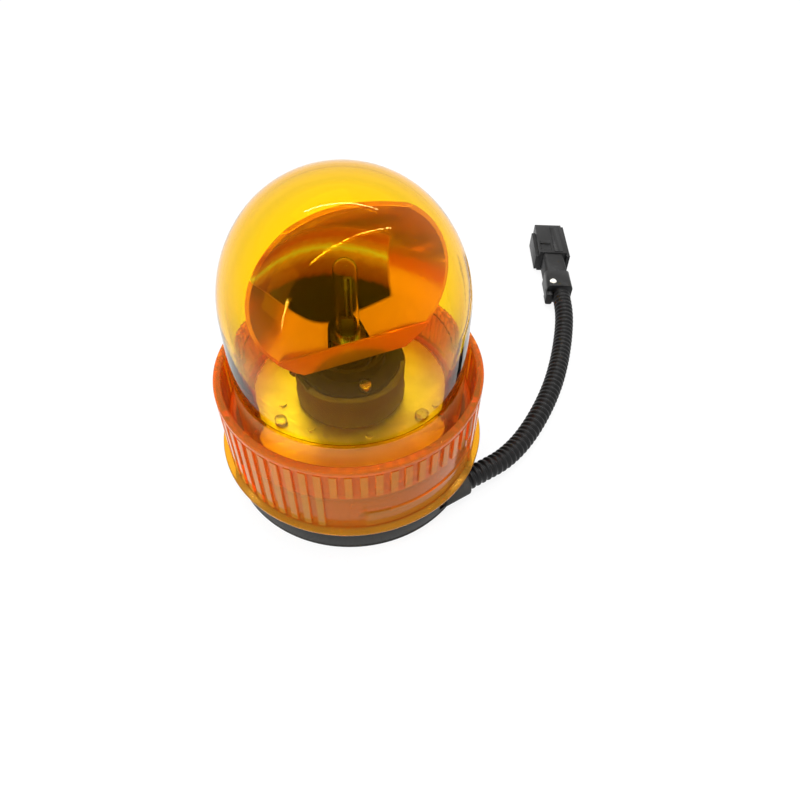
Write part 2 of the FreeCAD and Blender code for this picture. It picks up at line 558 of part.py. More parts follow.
# ---------------------------------------------------------------- gear train
def gear_outline(teeth, slack, tip, root, phase):
    """Closed polygon of involute teeth: a tooth's half angle falls as the involute of its pressure
    angle grows; a negative slack widens the tooth, which gives the spaces of an internal gear."""
    module = size("module_size")
    pressure = math.radians(20.0)
    pitch_rad = module * teeth / 2
    base_rad = pitch_rad * math.cos(pressure)

    def half_angle(radius):
        angle = math.acos(base_rad / max(radius, base_rad))
        involute = math.tan(pressure) - pressure - (math.tan(angle) - angle)
        return math.pi / (2 * teeth) + involute - slack / (2 * radius)

    flank = [pitch_rad + root * module, max(base_rad, pitch_rad + root * module / 2), pitch_rad,
             pitch_rad + tip * module / 2, pitch_rad + tip * module]
    points = []
    for i in range(teeth):
        middle = math.radians(phase) + 2 * math.pi * i / teeth
        for side, radii in ((-1, flank), (1, reversed(flank))):
            for radius in radii:
                angle = middle + side * half_angle(radius)
                points.append(V(radius * math.cos(angle), radius * math.sin(angle), 0))
    return Part.Face(Part.makePolygon(points + points[:1]))


def gear(name, teeth, phase, low, high, **place):
    face = gear_outline(teeth, size("slack"), 1.0, -1.25, phase)
    return spot(solid(name, face.extrude(V(0, 0, size(high) - size(low)))), z=low, **place)


def gear_train():
    ring_teeth, pinion_teeth = int(size("ring_teeth")), int(size("pinion_teeth"))
    half_space = 180.0 / size("motor_teeth")
    spaces = gear_outline(ring_teeth, -size("slack"), 1.25, -1.0, TRAIN)
    tool = spot(solid("ring_spaces", spaces.extrude(V(0, 0, 8))), z="ring_low - 2")
    blank = ring("ring_blank", rectangle("module_size * ring_teeth / 2 - 1.5", "drum_rad - drum_wall",
                                         "ring_low", "ring_high"))
    node(less("annulus", blank, [tool]), "ring_gear")

    at = around(IDLER_ARM, TRAIN)
    wheel = gear("wheel_teeth_disc", int(size("wheel_teeth")), TRAIN, "wheel_low", "wheel_high", **at)
    sleeve = cylinder("idler_sleeve", 2.4, "ring_low - wheel_low", z="wheel_low", **at)
    pinion = gear("pinion_teeth_disc", pinion_teeth, TRAIN, "ring_low - 0.1", "ring_high + 0.1", **at)
    bore = cylinder("idler_bore", "pin_rad + 0.05", 40, z="wheel_low - 4", **at)
    holes = [cylinder(f"wheel_hole_{i}", 1.8, 8, z="wheel_low - 2",
                      x=f"{at['x']} + 6.0 * cos({a})", y=f"{at['y']} + 6.0 * sin({a})")
             for i, a in enumerate(every(5))]
    node(less("idler", joined("idler_blank", [wheel, sleeve, pinion]), [bore] + holes), "idler_gear")
    node(cylinder("pin", "pin_rad", "ring_high + 0.8 - 18", z=18, **at), "idler_pin")

    at = around(MOTOR_ARM, TRAIN)
    toothed = gear("motor_teeth_disc", int(size("motor_teeth")), TRAIN + 180.0 + half_space,
                   "wheel_low - 0.1", "wheel_high + 0.1", **at)
    node(less("motor_gear", toothed, [cylinder("motor_gear_bore", "shaft_rad", 8, z="wheel_low - 2", **at)]),
         "motor_pinion")
    node(cylinder("shaft", "shaft_rad", "wheel_high + 0.6 - motor_low - 3", z="motor_low + 3", **at),
         "motor_shaft")


def motor():
    at = around(MOTOR_ARM, TRAIN)
    can = cylinder("can_solid", "motor_rad", "motor_high - motor_low - 4", z="motor_low + 4", **at)
    nose = cylinder("can_nose", 3.0, 0.8, z="motor_high", **at)
    hollow = cylinder("can_hollow", "shaft_rad + 0.05", 40, z="motor_low", **at)
    node(less("can", joined("can_blank", [can, nose]), [hollow]), "motor_can")
    cap = cylinder("end_cap_solid", "motor_rad", 4, z="motor_low", **at)
    bore = cylinder("end_cap_bore", "shaft_rad + 0.05", 10, z="motor_low - 1", **at)
    tabs = [box(f"tab_{i}", 2.0, 0.5, 2.2, x=f"{at['x']} + {s} * 2.2 - 1.0", y=f"{at['y']} - 0.25",
                z="motor_low - 1.6") for i, s in enumerate((1, -1))]
    node(less("end_cap", joined("end_cap_blank", [cap] + tabs), [bore]), "motor_end_cap")
    # two clips over the can's rim, each held by a screw into the web
    clips, screws = [], []
    for i, angle in enumerate(CLIP_SIDES):
        x, y = clip_spot(angle).values()
        tower = cylinder(f"clip_foot_{i}", 2.6, "motor_high - foot_height", x=x, y=y, z="foot_height")
        side = angle + 90.0
        tongue = box(f"clip_tongue_{i}", 8.6, 4.0, 1.0, x=f"{x} + 2.0 * cos({angle}) - 2.0 * cos({side + 180})",
                     y=f"{y} + 2.0 * sin({angle}) - 2.0 * sin({side + 180})", z="motor_high",
                     turn=angle + 180.0)
        bore = cylinder(f"clip_bore_{i}", 1.1, 30, x=x, y=y, z="foot_height - 1")
        body_part = less(f"clip_{i}", joined(f"clip_blank_{i}", [tower, tongue]),
                         [cylinder(f"clip_clear_{i}", "motor_rad + well_wall + 0.1", "motor_high - 0.01",
                                   z=0, **at), bore])
        clips.append(body_part)
        screws.append(screw(f"clip_screw_{i}", 2.0, 1.4, 1.0, 14.0, x=x, y=y, z="motor_high + 1.0"))
    node(group("clips", clips), "motor_clips")
    node(group("clip_screws", screws), "motor_screws")


# ---------------------------------------------------------------- supply: board, terminals, wires
def rod(name, points, radius):
    """Round bar through points, with the corners mitred by spheres of its own radius."""
    shapes = [Part.makeCylinder(radius, (b - a).Length, a, b - a) for a, b in zip(points, points[1:])]
    shapes += [Part.makeSphere(radius, p) for p in points[1:-1]]
    return solid(name, shapes[0].multiFuse(shapes[1:]) if len(shapes) > 1 else shapes[0])


def supply():
    board = box("board_sheet", 26, 18, 1.6, x=2, y=14, z=f"{WEB_LOW} - 2.1")
    stand = [cylinder(f"board_stand_{i}", 1.6, 0.5, x=x, y=y, z=f"{WEB_LOW} - 0.5")
             for i, (x, y) in enumerate(((5, 17), (25, 29)))]
    node(joined("board", [board] + stand), "suppressor_board")
    node(cylinder("capacitor_can", 2.6, 11, x=5, y=24, z=8.1, turn=90.0, axis=V(0, 1, 0)), "capacitor")
    core = cylinder("choke_core", 2.4, 9, x=16, y=24, z=7.8, turn=90.0, axis=V(0, 1, 0))
    turns = [cylinder(f"choke_turn_{i}", 2.9, 0.7, x=17.2 + 1.1 * i, y=24, z=7.8, turn=90.0,
                      axis=V(0, 1, 0)) for i in range(6)]
    node(joined("choke_winding", [core] + turns), "choke")
    block = box("block_body", 16, 9, 8, x=12, y=-30, z=f"{WEB_LOW} - 8")
    ways = [cylinder(f"block_way_{i}", 1.6, 20, x=16.0 + 8.0 * i, y=-20, z=8.6, turn=90.0, axis=V(1, 0, 0))
            for i in range(2)]
    node(less("block", block, ways), "terminal_block")
    offset = V(-HEADING.y, HEADING.x, 0) * 1.5
    wires = []
    for i, side in enumerate((1, -1)):
        start = GLAND_END + offset * side
        inner = GLAND_START - HEADING * 1.8 + offset * side
        way_x = 24.0 - 8.0 * i
        wires.append(rod(f"feed_{i}", [start, inner, V(way_x, -33.5, 8.6), V(way_x, -26.0, 8.6)],
                         size("wire_rad")))
    node(group("feed", wires), "feed_wires")
    lead = rod("lamp_lead", [V(16.0, -22.0, 8.6), V(16.0, -12.0, 8.6), V(0.0, -1.0, 10.0), V(0, -1.0, 20.0),
                             V(0, 0, 26.0), V(0, 0, size("post_top") - 2.0)], size("wire_rad"))
    node(lead, "lamp_wire")


# ---------------------------------------------------------------- cord and connector
ROUTE = [GLAND_END, V(57.2, -25.3, 8.0), V(67.4, -19.3, 6.6), V(76.6, -11.0, 5.4), V(84.4, -2.1, 5.2),
         V(91.4, 7.4, 5.2), V(98.0, 17.6, 5.2), V(104.3, 28.9, 5.2), V(109.9, 40.9, 5.2),
         V(115.0, 53.6, 5.2), V(119.4, 66.3, 5.4), V(122.6, 77.5, 6.2), V(124.3, 87.5, 7.0),
         V(125.4, 97.0, 7.0)]


def rounded_path(points, share=0.45):
    """Straight runs joined by tangent arcs as large as the shorter run allows."""
    edges, radii, here = [], [], points[0]
    for before, corner, after in zip(points, points[1:], points[2:]):
        back, ahead = before - corner, after - corner
        setback = share * min(back.Length, ahead.Length)
        half_turn = (math.pi - back.getAngle(ahead)) / 2
        start = corner + V(back).normalize() * setback
        stop = corner + V(ahead).normalize() * setback
        radius = setback / math.tan(half_turn)
        bisector = (V(back).normalize() + V(ahead).normalize()).normalize()
        middle = corner + bisector * (radius / math.cos(half_turn) - radius)
        edges.append(Part.LineSegment(here, start).toShape())
        edges.append(Part.Arc(start, middle, stop).toShape())
        radii.append(radius)
        here = stop
    edges.append(Part.LineSegment(here, points[-1]).toShape())
    return Part.Wire(edges), radii


def conduit():
    path, radii = rounded_path(ROUTE)
    radius = size("conduit_rad")
    section = Part.Wire(Part.makeCircle(radius, ROUTE[0], ROUTE[1] - ROUTE[0]))
    tube = path.makePipeShell([section], True, False)
    node(solid("conduit_tube", tube), "conduit")
    expected = math.pi * radius ** 2 * path.Length
    print("conduit length", round(path.Length, 1), "volume/expected", round(tube.Volume / expected, 4))
    print("conduit arc radii", [round(r) for r in radii])


def gland():
    """Rubber grommet that lines the notch along the cable's heading."""
    place = {"x": GLAND_START.x, "y": GLAND_START.y, "z": GLAND_START.z}
    sleeve = cylinder("gland_sleeve", "gland_rad", "gland_length", **place)
    bore = cylinder("gland_bore", 3.2, "gland_length", **place)
    for obj in (sleeve, bore):
        obj.Placement.Rotation = FreeCAD.Rotation(UP, HEADING)
    node(less("grommet", sleeve, [bore]), "cable_gland")


def softened(name, base, radius):
    """Round the edges that run along the connector."""
    doc.recompute()
    edges = [i for i, e in enumerate(base.Shape.Edges, start=1)
             if abs(abs(e.tangentAt(e.FirstParameter).x) - 1) < 1e-6]
    obj = doc.addObject("Part::Fillet", name)
    obj.Base = base
    obj.Edges = [(i, radius, radius) for i in edges]
    return obj


def connector():
    """Two-pin connector, drawn along +X from the conduit's end and turned to its heading."""
    end, run = ROUTE[-1], ROUTE[-1] - ROUTE[-2]
    heading = math.degrees(math.atan2(run.y, run.x))
    place = {"x": end.x, "y": end.y, "z": end.z, "turn": heading}
    shift = 1.2
    neck_x, head_x = "tail_length", "(tail_length + neck_length)"

    def block(name, x, length, width, height, y=0.0, z=0.0):
        return box(name, length, width, height, x=x, y=f"{y} - ({width}) / 2", z=f"{z} - ({height}) / 2")

    tail = softened("tail_round", block("tail_block", 0, "tail_length", "tail_width", "tail_height", shift), 2.5)
    ear = softened("ear_round", block("ear_block", "-3.5", 6, 4.0, 7.0, 7.0, -1.5), 1.2)
    seat = cylinder("plug_seat", 1.9, 6, x=4.0, y=5.0, z="tail_height / 2 - 1.5")
    backshell = less("backshell", joined("backshell_blank", [tail, ear]), [seat])
    node(spot(backshell, **place), "connector_backshell")
    plug = joined("plug", [cylinder("plug_stem", 1.9, 1.5, x=4.0, y=5.0, z="tail_height / 2 - 1.5"),
                           cone("plug_dome", 1.9, 1.2, 0.8, x=4.0, y=5.0, z="tail_height / 2")])
    node(spot(plug, **place), "seal_plug")

    neck = softened("neck_round", block("neck_block", neck_x, "neck_length + 2", "neck_width", "neck_height",
                                        shift), 2.0)
    head = block("head_block", head_x, "head_length", "head_width", "head_height", shift)
    left_wing = block("left_wing", head_x, "head_length - 5", 2.2, "head_height - 4",
                      f"{shift} + head_width / 2 + 0.9", "-1.0")
    right_rail = block("right_rail", f"{head_x} - 2", "head_length + 2", 2.0, "head_height - 2.4",
                       f"{shift} - head_width / 2 - 0.8")
    ridge = block("ridge", f"{head_x} + 1", "head_length - 4", 5.0, 1.2, shift - 3.4, "head_height / 2 - 0.3")
    slot = block("head_socket", f"{head_x} + head_length - socket_deep", "socket_deep + 6", "socket_width",
                 "socket_height", shift)
    key = block("head_key", f"{head_x} + head_length - 6", 10, 3.0, 2.0, shift, "socket_height / 2 + 0.6")
    pocket = block("lock_pocket", f"{head_x} + 3", 9, 6.2, 3.0, shift + 4.0, "head_height / 2")
    bores = [cylinder(f"cavity_{i}", 1.0, 60, x=2, y=shift + s, turn=90.0, axis=V(0, 1, 0))
             for i, s in enumerate((3.0, -3.0))]
    blank = joined("shell_blank", [neck, head, left_wing, right_rail, ridge])
    node(spot(less("shell", blank, [slot, key, pocket] + bores), **place), "connector_housing")
    lock = block("lock_body", f"{head_x} + 3.1", 8.8, 6.0, 1.5, shift + 4.0, "head_height / 2 - 0.75")
    nib = block("lock_nib", f"{head_x} + 8.5", 2.4, 6.0, 1.0, shift + 4.0, "head_height / 2 + 0.5")
    node(spot(joined("lock", [lock, nib]), **place), "connector_lock")
    pins = [cylinder(f"terminal_{i}", 1.0, "neck_length + head_length - 6", x="tail_length", y=shift + s,
                     turn=90.0, axis=V(0, 1, 0)) for i, s in enumerate((3.0, -3.0))]
    node(spot(group("terminals", pins), **place), "terminal_pins")


for build in (base_housing, bottom_cover, globe, deck, lamp_post, lamp, turntable, reflector, gear_train,
              motor, supply, gland, conduit, connector):
    build()
doc.recompute()

# ---------------------------------------------------------------- check and write
faults = [f"{o.Name}: {o.State}" for o in doc.Objects if {"Invalid", "Error"} & set(o.State)]
for obj in nodes:
    if obj.Shape.isNull() or not obj.Shape.isValid():
        faults.append(f"{obj.Label}: shape is null or not valid")
if faults:
    raise SystemExit("\n".join(faults))

os.makedirs("parts", exist_ok=True)
for obj in nodes:
    obj.Shape.exportStep(f"parts/{obj.Label}.step")
    limits = obj.Shape.BoundBox
    print(f"{obj.Label:20s} solids {len(obj.Shape.Solids)}  volume {obj.Shape.Volume:9.0f}"
          f"  z {limits.ZMin:6.1f} to {limits.ZMax:6.1f}")
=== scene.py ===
# %% [markdown]
# # A rotating beacon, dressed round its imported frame
#
# The frame is the construction model: every piece at its real size, with its joints. This script
# gives each piece the surface that the eye sees. A rotating beacon is a lamp that stands still, a
# parabolic mirror that turns round it, and an amber globe over both.
#
# Lengths are written in millimetres and turned to Blender's metres by one factor, MM. Every finished
# object sits at the origin and keeps its place in its mesh, as the frame's own nodes do.

# %% Load the frame and note its box
import math

import bpy
import numpy as np
from mathutils import Matrix, Vector


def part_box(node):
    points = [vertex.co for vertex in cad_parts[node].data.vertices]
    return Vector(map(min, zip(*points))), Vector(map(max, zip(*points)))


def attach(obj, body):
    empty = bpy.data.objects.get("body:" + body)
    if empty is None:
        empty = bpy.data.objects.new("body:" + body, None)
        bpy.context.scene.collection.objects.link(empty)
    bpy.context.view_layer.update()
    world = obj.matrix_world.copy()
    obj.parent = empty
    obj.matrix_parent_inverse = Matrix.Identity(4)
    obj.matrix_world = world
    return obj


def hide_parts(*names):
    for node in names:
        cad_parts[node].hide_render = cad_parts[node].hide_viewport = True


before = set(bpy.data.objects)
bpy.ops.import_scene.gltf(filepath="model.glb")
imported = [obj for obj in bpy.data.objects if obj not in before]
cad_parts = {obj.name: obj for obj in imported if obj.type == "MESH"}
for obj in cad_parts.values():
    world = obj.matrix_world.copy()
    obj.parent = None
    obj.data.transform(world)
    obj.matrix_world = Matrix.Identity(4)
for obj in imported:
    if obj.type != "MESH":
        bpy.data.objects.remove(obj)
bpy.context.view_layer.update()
MM = 0.001

# %% [markdown]
# ## The camera
#
# The beacon is seen from above its front, at a short distance, so the dome's top bulges towards the
# lens and the base narrows away from it. A camera could be placed with a track-to constraint, but
# that keeps the horizon level. Here its place and three turns are given instead: yaw turns the view
# about +Z, pitch lowers it and roll tilts the picture a little.

# %% Camera
CAMERA_PLACE = Vector((0.0, -191.2, 246.6)) * MM
YAW, PITCH, ROLL = (math.radians(a) for a in (6.43, 48.29, 1.67))
LENS, SENSOR = 29.07, 36.0


def camera_axes(yaw, pitch, roll):
    """Right, up and forward of a view: forward from yaw and pitch, then right and up turned by roll."""
    forward = Vector((math.sin(yaw) * math.cos(pitch), math.cos(yaw) * math.cos(pitch), -math.sin(pitch)))
    level = Vector((math.cos(yaw), -math.sin(yaw), 0.0))
    upright = level.cross(forward)
    right = level * math.cos(roll) + upright * math.sin(roll)
    up = upright * math.cos(roll) - level * math.sin(roll)
    return right, up, forward


right, up, forward = camera_axes(YAW, PITCH, ROLL)
lens = bpy.data.cameras.new("camera")
lens.lens, lens.sensor_width = LENS, SENSOR
lens.clip_start, lens.clip_end = 0.01, 20.0
camera = bpy.data.objects.new("camera", lens)
turn = Matrix((right, up, -forward)).transposed().to_4x4()
camera.matrix_world = Matrix.Translation(CAMERA_PLACE) @ turn
bpy.context.scene.collection.objects.link(camera)
bpy.context.scene.camera = camera
print("camera at", [round(c, 4) for c in CAMERA_PLACE])

# %% [markdown]
# ## Helpers for node trees and colours
#
# Colours are written as the hex values of a colour picker, which are sRGB. Shaders work in linear
# light, so one function turns them. Another adds a node with its settings and its links in one line,
# which keeps a material's recipe readable from top to bottom. Three nodes come back often. Map Range
# takes a value, the two ends it runs between and the two results at those ends. Math takes two
# values. Mix takes a share and the colours A and B.


# %% Colour and node helpers
def linear(hex_colour):
    """Linear RGBA of an sRGB hex colour: each channel through the sRGB curve."""
    srgb = np.array([int(hex_colour[i:i + 2], 16) for i in (1, 3, 5)]) / 255.0
    value = np.where(srgb <= 0.04045, srgb / 12.92, ((srgb + 0.055) / 1.055) ** 2.4)
    return (*value.tolist(), 1.0)


def grey(level):
    """RGBA whose three channels are one level, for a ramp that carries a roughness."""
    return (level, level, level, 1.0)


def add(tree, kind, inputs=(), stops=(), **settings):
    """Adds a node. Inputs are a list for the first sockets in order, or a dict by name or number; each
    is a value, or the output that feeds the socket. Stops are a colour ramp's (position, colour)."""
    node = tree.nodes.new(kind)
    for name, value in settings.items():
        setattr(node, name, value)
    for socket, value in inputs.items() if isinstance(inputs, dict) else enumerate(inputs):
        if isinstance(value, bpy.types.NodeSocket):
            tree.links.new(value, node.inputs[socket])
        else:
            node.inputs[socket].default_value = value
    for count, (position, colour) in enumerate(stops):
        marks = node.color_ramp.elements
        ends = {0: 0, len(stops) - 1: -1}
        mark = marks[ends[count]] if count in ends else marks.new(position)
        mark.position, mark.color = position, colour
    return node


def material(name):
    """An empty node material and its tree."""
    made = bpy.data.materials.new(name)
    made.use_nodes = True
    made.node_tree.nodes.clear()
    return made, made.node_tree


def finish_surface(tree, shader, volume=None):
    """Joins a shader, and a volume for a clear body, to the material's output."""
    inputs = {"Surface": shader.outputs[0]}
    if volume is not None:
        inputs["Volume"] = volume.outputs[0]
    add(tree, "ShaderNodeOutputMaterial", inputs)


print("helpers ready; mid grey is", round(linear("#808080")[0], 3), "in linear light")

# %% [markdown]
# ## Floor, backdrop and light
#
# The beacon stands in a pale light tent: one even world of the same strength for every ray, so that
# the object is lit the same from all sides. The floor is white to the camera, and to the rays that
# glass and metal pass on, through Light Path, and keeps a share of its own shading for the shadow.
# Two large soft lamps give the black pieces their form. Three narrow strips are there for gloss: a
# clear dome shows its roundness only by what it mirrors, and a thin strip becomes a thin arc.


# %% World and floor
WORLD_LEVEL = 0.86
FLOOR_SHARE, FLOOR_RADIUS, FLOOR_GAP = 0.88, 4.0, 0.2 * MM


def pale_world():
    """One even, pale surround for every ray."""
    world = bpy.data.worlds.new("light_tent")
    bpy.context.scene.world = world
    world.use_nodes = True
    tree = world.node_tree
    tree.nodes.clear()
    tent = add(tree, "ShaderNodeBackground", (linear("#FFFFFF"), WORLD_LEVEL))
    add(tree, "ShaderNodeOutputWorld", {"Surface": tent.outputs[0]})


def white_floor():
    """A wide disc just under the object, white to the camera but for a share of its own shading."""
    made, tree = material("paper_floor")
    path = add(tree, "ShaderNodeLightPath").outputs
    seen = add(tree, "ShaderNodeMath", (path["Is Camera Ray"], path["Is Glossy Ray"]),
               operation="MAXIMUM").outputs[0]
    seen = add(tree, "ShaderNodeMath", (seen, path["Is Transmission Ray"]), operation="MAXIMUM").outputs[0]
    share = add(tree, "ShaderNodeMath", (seen, FLOOR_SHARE), operation="MULTIPLY").outputs[0]
    paper = add(tree, "ShaderNodeBsdfDiffuse", {"Color": linear("#F4F4F4")}).outputs[0]
    glow = add(tree, "ShaderNodeEmission", {"Color": linear("#FFFFFF"), "Strength": 1.0}).outputs[0]
    finish_surface(tree, add(tree, "ShaderNodeMixShader", (share, paper, glow)))
    bpy.ops.mesh.primitive_circle_add(vertices=96, radius=FLOOR_RADIUS, fill_type="NGON",
                                      location=(0, 0, -FLOOR_GAP))
    floor = bpy.context.object
    floor.name = "floor"
    floor.data.materials.append(made)


pale_world()
white_floor()
bpy.context.scene.view_settings.view_transform = "Standard"
print("world at", WORLD_LEVEL, "and a floor", 2 * FLOOR_RADIUS, "m across")


# %% Lamps
def lamp(name, place, target, size, watts, mirrored=False):
    """Area lamp aimed at a point. Gloss and mirrors show it only where mirrored is True."""
    light = bpy.data.lights.new(name, "AREA")
    light.shape, light.size, light.size_y, light.energy = "RECTANGLE", size[0], size[1], watts
    holder = bpy.data.objects.new(name, light)
    holder.visible_glossy = mirrored
    aim = (Vector(target) - Vector(place)).to_track_quat("-Z", "Y")
    holder.matrix_world = Matrix.Translation(place) @ aim.to_matrix().to_4x4()
    bpy.context.scene.collection.objects.link(holder)


# places, targets and sizes in metres
STRIP_WIDTH = 0.022
lamp("overhead_box", (-0.15, 0.35, 0.75), (0.0, 0.0, 0.08), (0.55, 0.35), 1.5)
lamp("side_box", (-0.6, -0.25, 0.35), (0.0, 0.0, 0.06), (0.25, 0.5), 1.5)
lamp("front_strip", (0.08, -0.15, 1.1), (0.0, 0.0, 0.1), (1.5, STRIP_WIDTH), 6.5, mirrored=True)
lamp("rear_strip", (0.0, 0.45, 1.05), (0.0, 0.0, 0.1), (1.0, STRIP_WIDTH), 4.5, mirrored=True)
lamp("side_strip", (-0.78, -0.57, 0.27), (0.0, 0.0, 0.1), (STRIP_WIDTH, 0.4), 2.2, mirrored=True)
print("lamps", [light.name for light in bpy.data.lights])

# %% [markdown]
# ## Mesh helpers
#
# Most pieces here are surfaces on a grid: one direction goes along a profile or a path, the other goes
# round. The grid is worked out as one numpy array, and one function turns it into a mesh. Where a
# profile ends on the axis, its whole end row is one point, the pole.


# %% Grid to mesh
def place_mesh(name, points, faces, crease=32.0):
    """Mesh from points in millimetres and a list of faces, smooth but for edges sharper than crease."""
    mesh = bpy.data.meshes.new(name)
    mesh.from_pydata((np.asarray(points) * MM).tolist(), [], faces)
    mesh.validate()
    mesh.polygons.foreach_set("use_smooth", np.ones(len(mesh.polygons), dtype=bool))
    mesh.set_sharp_from_angle(angle=math.radians(crease))
    piece = bpy.data.objects.new(name, mesh)
    bpy.context.scene.collection.objects.link(piece)
    return piece


def grid_faces(rows, columns, wrap_rows=False):
    """Quads of a grid whose columns close on themselves, facing outwards for a profile that runs down
    the outside as the columns go anticlockwise."""
    i = np.arange(rows if wrap_rows else rows - 1)[:, None]
    j = np.arange(columns)[None, :]
    below, beside = (i + 1) % rows, (j + 1) % columns
    quads = np.stack(np.broadcast_arrays(i * columns + j, below * columns + j,
                                         below * columns + beside, i * columns + beside), axis=-1)
    return quads.reshape(-1, 4).tolist()


def capped_grid(name, grid, first_pole, last_pole, crease=32.0):
    """Closed mesh from a grid of rings between two poles."""
    rows, columns, _ = grid.shape
    points = np.concatenate([grid.reshape(-1, 3), [first_pole, last_pole]])
    faces = grid_faces(rows, columns)
    start, end, last = rows * columns, rows * columns + 1, (rows - 1) * columns
    j = np.arange(columns)
    beside = (j + 1) % columns
    faces += np.stack([np.full(columns, start), j, beside], axis=-1).tolist()
    faces += np.stack([last + j, np.full(columns, end), last + beside], axis=-1).tolist()
    return place_mesh(name, points, faces, crease)


# %% Profiles
NEARLY_STRAIGHT = 1.55  # radians of half a corner's angle, past which there is nothing to round


def eased(corners, radii, steps=4):
    """Profile with each corner replaced by an arc of its radius, tangent to both sides."""
    corners, out = np.asarray(corners, dtype=float), [np.asarray(corners[0], dtype=float)[None]]
    for before, corner, after, radius in zip(corners, corners[1:], corners[2:], radii):
        back, ahead = before - corner, after - corner
        back, ahead = back / np.linalg.norm(back), ahead / np.linalg.norm(ahead)
        half = math.acos(np.clip(back @ ahead, -1.0, 1.0)) / 2
        if radius <= 0 or half > NEARLY_STRAIGHT:
            out.append(corner[None])
            continue
        reach = radius / math.tan(half)
        bisector = (back + ahead) / np.linalg.norm(back + ahead)
        centre = corner + bisector * radius / math.sin(half)
        start, stop = corner + back * reach - centre, corner + ahead * reach - centre
        total = math.atan2(start[0] * stop[1] - start[1] * stop[0], start @ stop)
        angle = np.linspace(0.0, total, steps + 1)[:, None]
        turned = np.concatenate([np.cos(angle) * start[0] - np.sin(angle) * start[1],
                                 np.sin(angle) * start[0] + np.cos(angle) * start[1]], axis=1)
        out.append(centre + turned)
    out.append(corners[-1][None])
    return np.concatenate(out)


print("mesh helpers ready")

# %% [markdown]
# ## Black plastics and rubber
#
# Three black finishes sit side by side. The base and the drum are moulded ABS with the fine grain of
# spark-eroded tooling, which scatters light and lifts the black to a soft grey. The connector and the
# conduit are nylon, darker and a little glossier. The pad, the seal and the grommet are rubber, with
# the pale bloom that rubber gets. Each could be a flat colour, but a moulding drifts in tone where
# the melt flowed and catches dust on its upper faces. One recipe gives them all, and the lighter
# plastics inside, their drift, grain and dust.


# %% Moulded plastics
FLOW, SPECK = 22 * MM, 1.5 * MM


def moulded_plastic(name, colours, roughness, grain, depth, dust=0.0, painted_shade=None):
    """Moulded plastic: a fine grain of bumps, a slow drift of colour between two hexes where the melt
    flowed, and dust that settles on faces that look upwards. A painted shade, given as (turn, reach,
    height), is black on what lies above the height and less than reach in front of the axis, seen along
    the turn. The grain is a few tenths of a millimetre, coarser than such a mould's usually is, so that it
    shows."""
    made, tree = material(name)
    place = add(tree, "ShaderNodeTexCoord").outputs["Object"]
    drift = add(tree, "ShaderNodeTexNoise", {"Vector": place, "Scale": 1 / FLOW, "Detail": 3.0})
    colour = add(tree, "ShaderNodeValToRGB", (drift.outputs["Fac"],),
                 stops=((0.35, linear(colours[0])), (0.65, linear(colours[1])))).outputs["Color"]
    spark = add(tree, "ShaderNodeTexNoise", {"Vector": place, "Scale": 1 / (grain * MM), "Detail": 3.0})
    bumps = add(tree, "ShaderNodeBump", {"Height": spark.outputs["Fac"], "Strength": 0.5,
                                         "Distance": depth * MM})
    if dust:
        normal = add(tree, "ShaderNodeNewGeometry").outputs["Normal"]
        upward = add(tree, "ShaderNodeSeparateXYZ", (normal,)).outputs["Z"]
        specks = add(tree, "ShaderNodeTexNoise", {"Vector": place, "Scale": 1 / SPECK, "Detail": 8.0})
        settled = add(tree, "ShaderNodeMath", (upward, specks.outputs["Fac"]),
                      operation="MULTIPLY").outputs[0]
        amount = add(tree, "ShaderNodeMath", (settled, dust), operation="MULTIPLY",
                     use_clamp=True).outputs[0]
        colour = add(tree, "ShaderNodeMix", {"Factor": amount, "A": colour, "B": linear("#8F8B83")},
                     data_type="RGBA").outputs["Result"]
    # painted shade: black above a height and behind a line, for the shade of what stands over the top
    if painted_shade:
        turn, reach, height = painted_shade
        ahead = add(tree, "ShaderNodeVectorMath", (place, (math.cos(turn), math.sin(turn), 0.0)),
                    operation="DOT_PRODUCT").outputs["Value"]
        level = add(tree, "ShaderNodeSeparateXYZ", (place,)).outputs["Z"]
        behind = add(tree, "ShaderNodeMapRange",
                     (ahead, (reach - 0.3) * MM, (reach + 0.3) * MM, 1.0, 0.0)).outputs[0]
        above = add(tree, "ShaderNodeMapRange",
                    (level, (height - 0.1) * MM, height * MM, 0.0, 1.0)).outputs[0]
        inside = add(tree, "ShaderNodeMath", (behind, above), operation="MULTIPLY").outputs[0]
        colour = add(tree, "ShaderNodeMix", {"Factor": inside, "A": colour, "B": linear("#050302")},
                     data_type="RGBA").outputs["Result"]
    polish = add(tree, "ShaderNodeValToRGB", (spark.outputs["Fac"],),
                 stops=((0.3, grey(roughness - 0.05)), (0.7, grey(roughness + 0.07)))).outputs["Color"]
    # 1.33, under the 1.5 of most plastics, was matched: it mirrors less of the pale surround
    skin = add(tree, "ShaderNodeBsdfPrincipled", {"Base Color": colour, "Roughness": polish, "IOR": 1.33,
                                                  "Normal": bumps.outputs["Normal"]})
    finish_surface(tree, skin)
    return made


# %% Plastic and rubber finishes
# the way the mirror faces at rest, about +Z
MIRROR_TURN = math.radians(18.0 - 90.0)
# ABS from a spark-eroded mould: an even satin that greys the black
BASE_ABS = moulded_plastic("spark_eroded_abs", ("#141310", "#1B1A17"), 0.5, 0.5, 0.06, dust=0.05)
# the same in a brown black, dustier; behind a line across its top it is painted black, a painted shade
# under the mirror, which is drawn for the look of it
DRUM_ABS = moulded_plastic("drum_abs", ("#4E4038", "#5A4A40"), 0.45, 0.6, 0.05, dust=0.35,
                           painted_shade=(MIRROR_TURN, 9.5, 57.6))
# the mirror's own moulding where no film was laid on: bare and deep black
BARE_FOOT = moulded_plastic("bare_mirror_foot", ("#050404", "#0A0807"), 0.6, 0.5, 0.05, dust=0.05)
